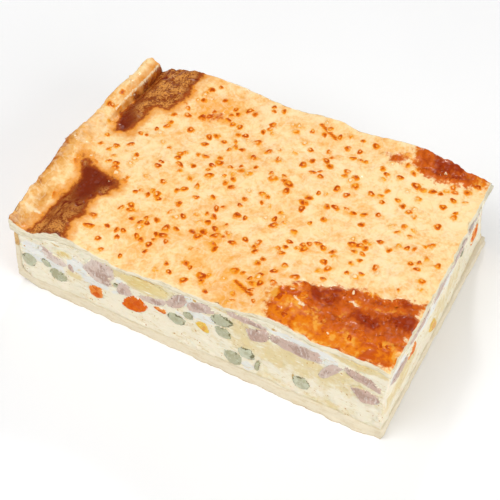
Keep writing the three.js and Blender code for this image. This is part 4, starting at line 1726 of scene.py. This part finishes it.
@dataclass(frozen=True)
class EggFilling:
    """The set egg: three cut faces with pockets, and plain sides under the lid and behind the wall."""

    lid: LidForm
    mix: EggMix
    step: float = 0.62
    row_step: float = 0.775
    rough: Relief = Relief(0.4, 4, 71, 4)
    smear: Relief = Relief(0.12, 1.4, 72)
    cracks: Cracks = Cracks(0.09, 4, 73, 2)
    cracked: Relief = Relief(1, 14, 74, 2)
    crack_depth: float = 0.6
    lap: float = 0.15
    pocket: float = 1.4
    pocket_inset: float = 0.35
    wall_columns: int = 24
    hidden_rings: tuple[float, ...] = (0.94, 0.86, 0.76, 0.64, 0.5, 0.35, 0.2, 0.08)

    def perimeter(self) -> tuple[Array, Array, Array]:
        """Columns round the filling, against the clock seen from above.

        Returns:
            For each column its side (0 front, 1 end, 2 back, 3 wall) and its share along that side, and
            the height shares of the rows.
        """
        form = self.lid.form
        counts = [round(size / self.step) for size in (form.length, form.width, form.length)]
        counts.append(self.wall_columns)
        side = np.concatenate([np.full(count, k) for k, count in enumerate(counts)])
        share = np.concatenate([np.arange(count) / count for count in counts])
        return side, share, np.linspace(0, 1, round(form.lid_level / self.row_step))

    def plan(self, side: Array, share: Array, z: Array) -> tuple[Array, Array]:
        """Where a column's cut face is at a height.

        Args:
            side: The column's side.
            share: Its share along that side.
            z: Heights, one for each column.

        Returns:
            Places along and across the slice.
        """
        form = self.lid.form
        half = form.width / 2 - form.side_set_back
        corner = form.base_thickness + form.fillet
        low = smoothstep(corner, form.base_thickness, z)
        left = form.wall_outer(np.maximum(z, corner)) + form.wall_thickness - self.lap + form.fillet * low
        faces = [side == face.number for face in CutFace]
        across = [0 * share - half, (2 * share - 1) * half, 0 * share + half]
        y = np.select(faces, across, (1 - 2 * share) * half)
        right = form.cut_end(y, z)
        x = np.select(faces, [left + (right - left) * share, right, right + (left - right) * share], left)
        return x, y

    def pockets(self, side: Array, points: Array, morsels: Sequence[Morsel]) -> Array:
        """How far the egg is set back behind the morsels.

        Args:
            side: Each point's side.
            points: Places on the cut faces.
            morsels: The cut pieces that lie in the egg.

        Returns:
            The set back in millimetres.
        """
        set_back = np.zeros(side.shape)
        for morsel in morsels:
            local = morsel.face.local(points)
            outline = morsel.outline()
            low, high = outline.min(axis=0), outline.max(axis=0)
            plan = local[..., [0, 2]]
            near = (side == morsel.face.number) & np.all((plan > low) & (plan < high), axis=-1)
            depth = Patch(tuple(map(tuple, outline))).depth(*plan[near].T)
            set_back[near] += self.pocket * smoothstep(self.pocket_inset, 2 * self.pocket_inset, depth)
        return set_back

    def build(self, finish: Material, morsels: Sequence[Morsel]) -> Object:
        """Makes the filling.

        Args:
            finish: The set egg.
            morsels: The cut pieces that lie in it.

        Returns:
            The piece that stands for the filling's solid.
        """
        form = self.lid.form
        side, share, rows = self.perimeter()
        x, y = self.plan(side, share, np.full(side.shape, form.lid_level / 2))
        bottom = form.base_top(x) - self.lap
        top = self.lid.underside(x, y) + self.lap
        z = bottom + (top - bottom) * rows[:, None]
        side, share = (np.broadcast_to(values, z.shape) for values in (side, share))
        x, y = self.plan(side, share, z)
        points = np.stack([x, y, z], axis=-1)
        tangent = np.roll(points, -1, axis=1) - np.roll(points, 1, axis=1)
        outward = np.stack([tangent[..., 1], -tangent[..., 0]], axis=-1)
        outward /= np.linalg.norm(outward, axis=-1, keepdims=True)
        shown = side < len(CutFace)
        fields = self.mix.fields(side, points)
        fields["seam"] += 0.6 * smoothstep(0.95, 1, np.broadcast_to(rows[:, None], z.shape))
        # Smears and cracks run along the faces
        rough = self.rough.at(points) + self.smear.at(points * [0.25, 0.25, 1])
        cracks = self.cracks.at(points * [0.35, 0.35, 1]) * smoothstep(0.1, 0.4, self.cracked.at(points))
        rough -= self.crack_depth * cracks
        offset = shown * (rough - self.pockets(side, points, morsels))
        points[..., :2] += outward * offset[..., None]
        # Under the lid, rings that shrink towards the middle close the filling
        hidden = np.array(self.hidden_rings)[:, None, None]
        plan = points[-1, :, :2] * hidden
        under = self.lid.underside(plan[..., 0], plan[..., 1]) - form.gap
        points = np.concatenate([points, np.concatenate([plan, under[..., None]], axis=-1)])
        columns, last = z.shape[1], points.size // 3 - z.shape[1]
        floor = np.append(points[0, :, :2].mean(axis=0), points[0, :, 2].mean())
        around = np.arange(columns)
        after = (around + 1) % columns
        faces = [
            *ring_quads(len(points), columns),
            *np.column_stack([after, around, np.full(columns, points.size // 3)]),
            around + last,
        ]
        spare = np.zeros(hidden.size * columns + 1)
        fields = {key: np.append(values.ravel(), spare) for key, values in fields.items()}
        points = np.vstack([points.reshape(-1, 3), floor])
        piece = mesh_piece("set_egg_filling", points, faces, fields, finish)
        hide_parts("egg_filling")
        return piece


# Base crust


@dataclass(frozen=True)
class BaseCrust:
    """The base sheet and the thin wall it turns up into, as one bent slab."""

    form: SliceForm
    step: float = 1.0
    across_step: float = 1.5
    levels: int = 9
    crumb: Relief = Relief(0.28, 3, 81)
    layers: Relief = Relief(0.168, 1.6, 82)
    foot: Relief = Relief(0.28, 3.4, 83)
    wall: Relief = Relief(0.28, 14, 84, 4)
    wall_inset: float = 0.224
    foot_browning: float = 0.62
    corner_steps: int = 16
    wall_lap: float = 0.5
    corner_wear: float = 0.8

    def resampled(self, line: Array, count: int) -> Array:
        """Evenly spaced points along a line.

        Args:
            line: Corners of the line.
            count: How many points to give.

        Returns:
            The points.
        """
        lengths = np.append(0, np.cumsum(np.linalg.norm(np.diff(line, axis=0), axis=1)))
        at = np.linspace(0, lengths[-1], count)
        return np.column_stack([np.interp(at, lengths, line[:, k]) for k in (0, 1)])

    def sides(self) -> tuple[Array, Array]:
        """Outer and inner line of the slab, from the wall's top down and along the sheet to the cut end.

        Returns:
            The outer line and the inner line, in step with each other.
        """
        form = self.form
        corner = form.base_thickness + form.fillet
        wall_z = stations(form.wall_top + self.wall_lap, corner, self.step)
        outer_wall = np.column_stack([form.wall_outer(wall_z), wall_z])
        inner_wall = outer_wall + [form.wall_thickness, 0]
        # Outside, the wall turns into the sheet by a curved heel
        part = np.linspace(1, 0, 12)
        run, rise = form.heel
        low_z = np.array([corner, rise])
        heel_start = form.wall_foot + run
        heel = np.column_stack([heel_start - run * part, rise * part**2])
        outer_corner = np.vstack([np.column_stack([form.wall_outer(low_z), low_z]), heel[1:]])
        # Inside, it does so by a fillet
        angle = np.linspace(0, np.pi / 2, 10)
        foot = inner_wall[-1, 0] + form.fillet
        arc_x = foot - form.fillet * np.cos(angle)
        arc = np.column_stack([arc_x, form.base_top(arc_x) + form.fillet * (1 - np.sin(angle))])
        on_sheet = np.linspace(foot, heel_start, 6)[1:]
        inner_corner = np.vstack([arc, np.column_stack([on_sheet, form.base_top(on_sheet)])])
        sheet_x = stations(heel_start, form.length / 2 - form.toe[0], self.step)[1:]
        outer = [outer_wall[:-1], self.resampled(outer_corner, self.corner_steps)]
        inner = [inner_wall[:-1], self.resampled(inner_corner, self.corner_steps)]
        outer.append(np.column_stack([sheet_x, 0 * sheet_x]))
        inner.append(np.column_stack([sheet_x, form.base_top(sheet_x)]))
        return np.vstack(outer), np.vstack(inner)

    def build(self, finish: Material) -> Object:
        """Makes the base.

        Args:
            finish: The soft base pastry.

        Returns:
            The piece that stands for the base's solid.
        """
        form = self.form
        outer, inner = self.sides()
        share = np.linspace(0, 1, self.levels)[None, None, :]
        across = stations(-1, 1, 2 * self.across_step / form.width)[None, :, None]
        x, z = (outer[:, k, None, None] + (inner - outer)[:, k, None, None] * share for k in (0, 1))
        at_end = smoothstep(form.length / 2 - 3, form.length / 2 - form.toe[0], x)
        bulge = form.toe[0] * np.interp(z, [0, form.toe[1], form.base_thickness], [0, 1, 0])
        x, z, across, share = np.broadcast_arrays(x + at_end * bulge, z, across, share)
        y = across * (form.width / 2 + form.spread(x, z) * (1 - self.corner_wear * smoothstep(74, 90, x)))
        points = np.stack([x, y, z], axis=-1)
        edge = self.crumb.at(points) + self.layers.at(points * [0.3, 0.3, 1.4])
        edge += smoothstep(2.2, 0, z) * self.foot.at(points * [1, 1, 0])
        is_last = np.zeros(x.shape)
        is_last[-1] = 1
        is_wall = smoothstep(0.25, 0, share) * smoothstep(form.wall_foot + 6, form.wall_foot, x)
        out_y = np.where(np.abs(across) > 0.9999, np.sign(across), 0)
        moved = points.copy()
        moved[..., 0] += is_last * edge - is_wall * (self.wall.at(points) + self.wall_inset)
        moved[..., 1] += out_y * edge
        used, faces = block_skin(moved)
        # The tin browned the foot, the outside of the wall and the wall's top
        outside = smoothstep(0.3, 0.0, share) * smoothstep(-84, -86, x) * smoothstep(1, 0.98, np.abs(across))
        foot = self.foot_browning * smoothstep(1.4, 0, z)
        tin = np.maximum(np.maximum(foot, outside), smoothstep(22, 28, z))
        fields = {"tin": tin.reshape(-1)[used]}
        piece = mesh_piece("base_pastry", moved.reshape(-1, 3)[used], faces[:, ::-1], fields, finish)
        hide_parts("base_crust")
        return piece


# Studio


@dataclass(frozen=True)
class SoftLight:
    """A square soft light: where it stands and how wide it is, in metres, and its power in watts."""

    name: str
    place: tuple[float, float, float]
    width: float
    power: float


@dataclass(frozen=True)
class Studio:
    """A pale floor, soft light from all round and the camera at the photograph's angle, in metres."""

    floor_size: float = 6.0
    sky: float = 0.25
    lights: tuple[SoftLight, ...] = (
        SoftLight("overhead", (-0.1, -0.35, 1.15), 1.0, 5.2),
        SoftLight("key", (-0.5, -0.6, 0.8), 0.8, 4.6),
        SoftLight("side", (0.85, -0.25, 0.4), 0.6, 4.4),
        SoftLight("glint", (-0.3, 1.1, 0.68), 0.12, 4.2),
    )
    camera_place: tuple[float, float, float] = (0.160036, -0.304204, 0.409106)
    azimuth: float = 28.02
    elevation: float = 49.41
    lens: float = 83.68
    sensor: float = 36.0

    def build_floor(self, finish: Material) -> Object:
        """Makes the floor that the slice lies on.

        Args:
            finish: The board.

        Returns:
            The floor, which is no part of the slice.
        """
        half = self.floor_size / 2
        corners = [(-half, -half, 0), (half, -half, 0), (half, half, 0), (-half, half, 0)]
        mesh = bpy.data.meshes.new("floor")
        mesh.from_pydata(corners, [], [(0, 1, 2, 3)])
        mesh.materials.append(finish)
        floor = bpy.data.objects.new("floor", mesh)
        bpy.context.scene.collection.objects.link(floor)
        return floor

    def build_lights(self) -> None:
        """Makes the sky and the soft lights."""
        world = bpy.data.worlds.new("studio")
        world.use_nodes = True
        sky = next(node for node in world.node_tree.nodes if node.type == "BACKGROUND")
        sky.inputs["Color"].default_value = to_linear("#FFFFFF")
        sky.inputs["Strength"].default_value = self.sky
        bpy.context.scene.world = world
        for light in self.lights:
            lamp = bpy.data.lights.new(light.name, "AREA")
            lamp.size = light.width
            lamp.energy = light.power
            stand = bpy.data.objects.new(light.name, lamp)
            stand.location = light.place
            stand.rotation_euler = (-Vector(light.place)).to_track_quat("-Z", "Y").to_euler()
            bpy.context.scene.collection.objects.link(stand)

    def build_camera(self) -> Object:
        """Makes the camera and sets it as the scene's.

        Returns:
            The camera.
        """
        turn, lift = math.radians(self.azimuth), math.radians(self.elevation)
        back = Vector((math.sin(turn) * math.cos(lift), -math.cos(turn) * math.cos(lift), math.sin(lift)))
        lens = bpy.data.cameras.new("camera")
        lens.lens = self.lens
        lens.sensor_width = self.sensor
        camera = bpy.data.objects.new("camera", lens)
        camera.location = self.camera_place
        camera.rotation_euler = (-back).to_track_quat("-Z", "Y").to_euler()
        bpy.context.scene.collection.objects.link(camera)
        bpy.context.scene.camera = camera
        return camera


def report(piece: Object) -> None:
    """Logs a piece and how many faces it has."""
    LOG.info("%s: %d faces", piece.name, len(piece.data.polygons))


def main() -> None:
    """Builds the slice's pieces in order and the studio round them."""
    logging.basicConfig(level=logging.INFO, format="%(name)s: %(message)s")
    bpy.context.scene.view_settings.view_transform = "Standard"
    form = SliceForm()
    lid = LidForm(form)
    surface = LidSurface(lid)
    blisters = GlazeBlisters(surface)
    report(LidCrust(surface, blisters).build(GlazedPastry().make()))
    report(blisters.build(BlisteredGlaze().make()))
    morsels = [Morsel(name) for name in sorted(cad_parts) if name.split("_")[0] in MORSELS]
    mix = EggMix()
    report(EggFilling(lid, mix).build(SetEgg().make(), morsels))
    report(BaseCrust(form).build(SoftBase().make()))
    finishes = {name: kind.finish.make() for name, kind in MORSELS.items()}
    for morsel, seed in zip(morsels, itertools.count(*MORSEL_SEEDS)):
        report(morsel.build(form, mix, finishes[morsel.kind], seed))
    studio = Studio()
    studio.build_floor(PaleFloor().make())
    studio.build_lights()
    studio.build_camera()


if __name__ == "__main__":
    main()
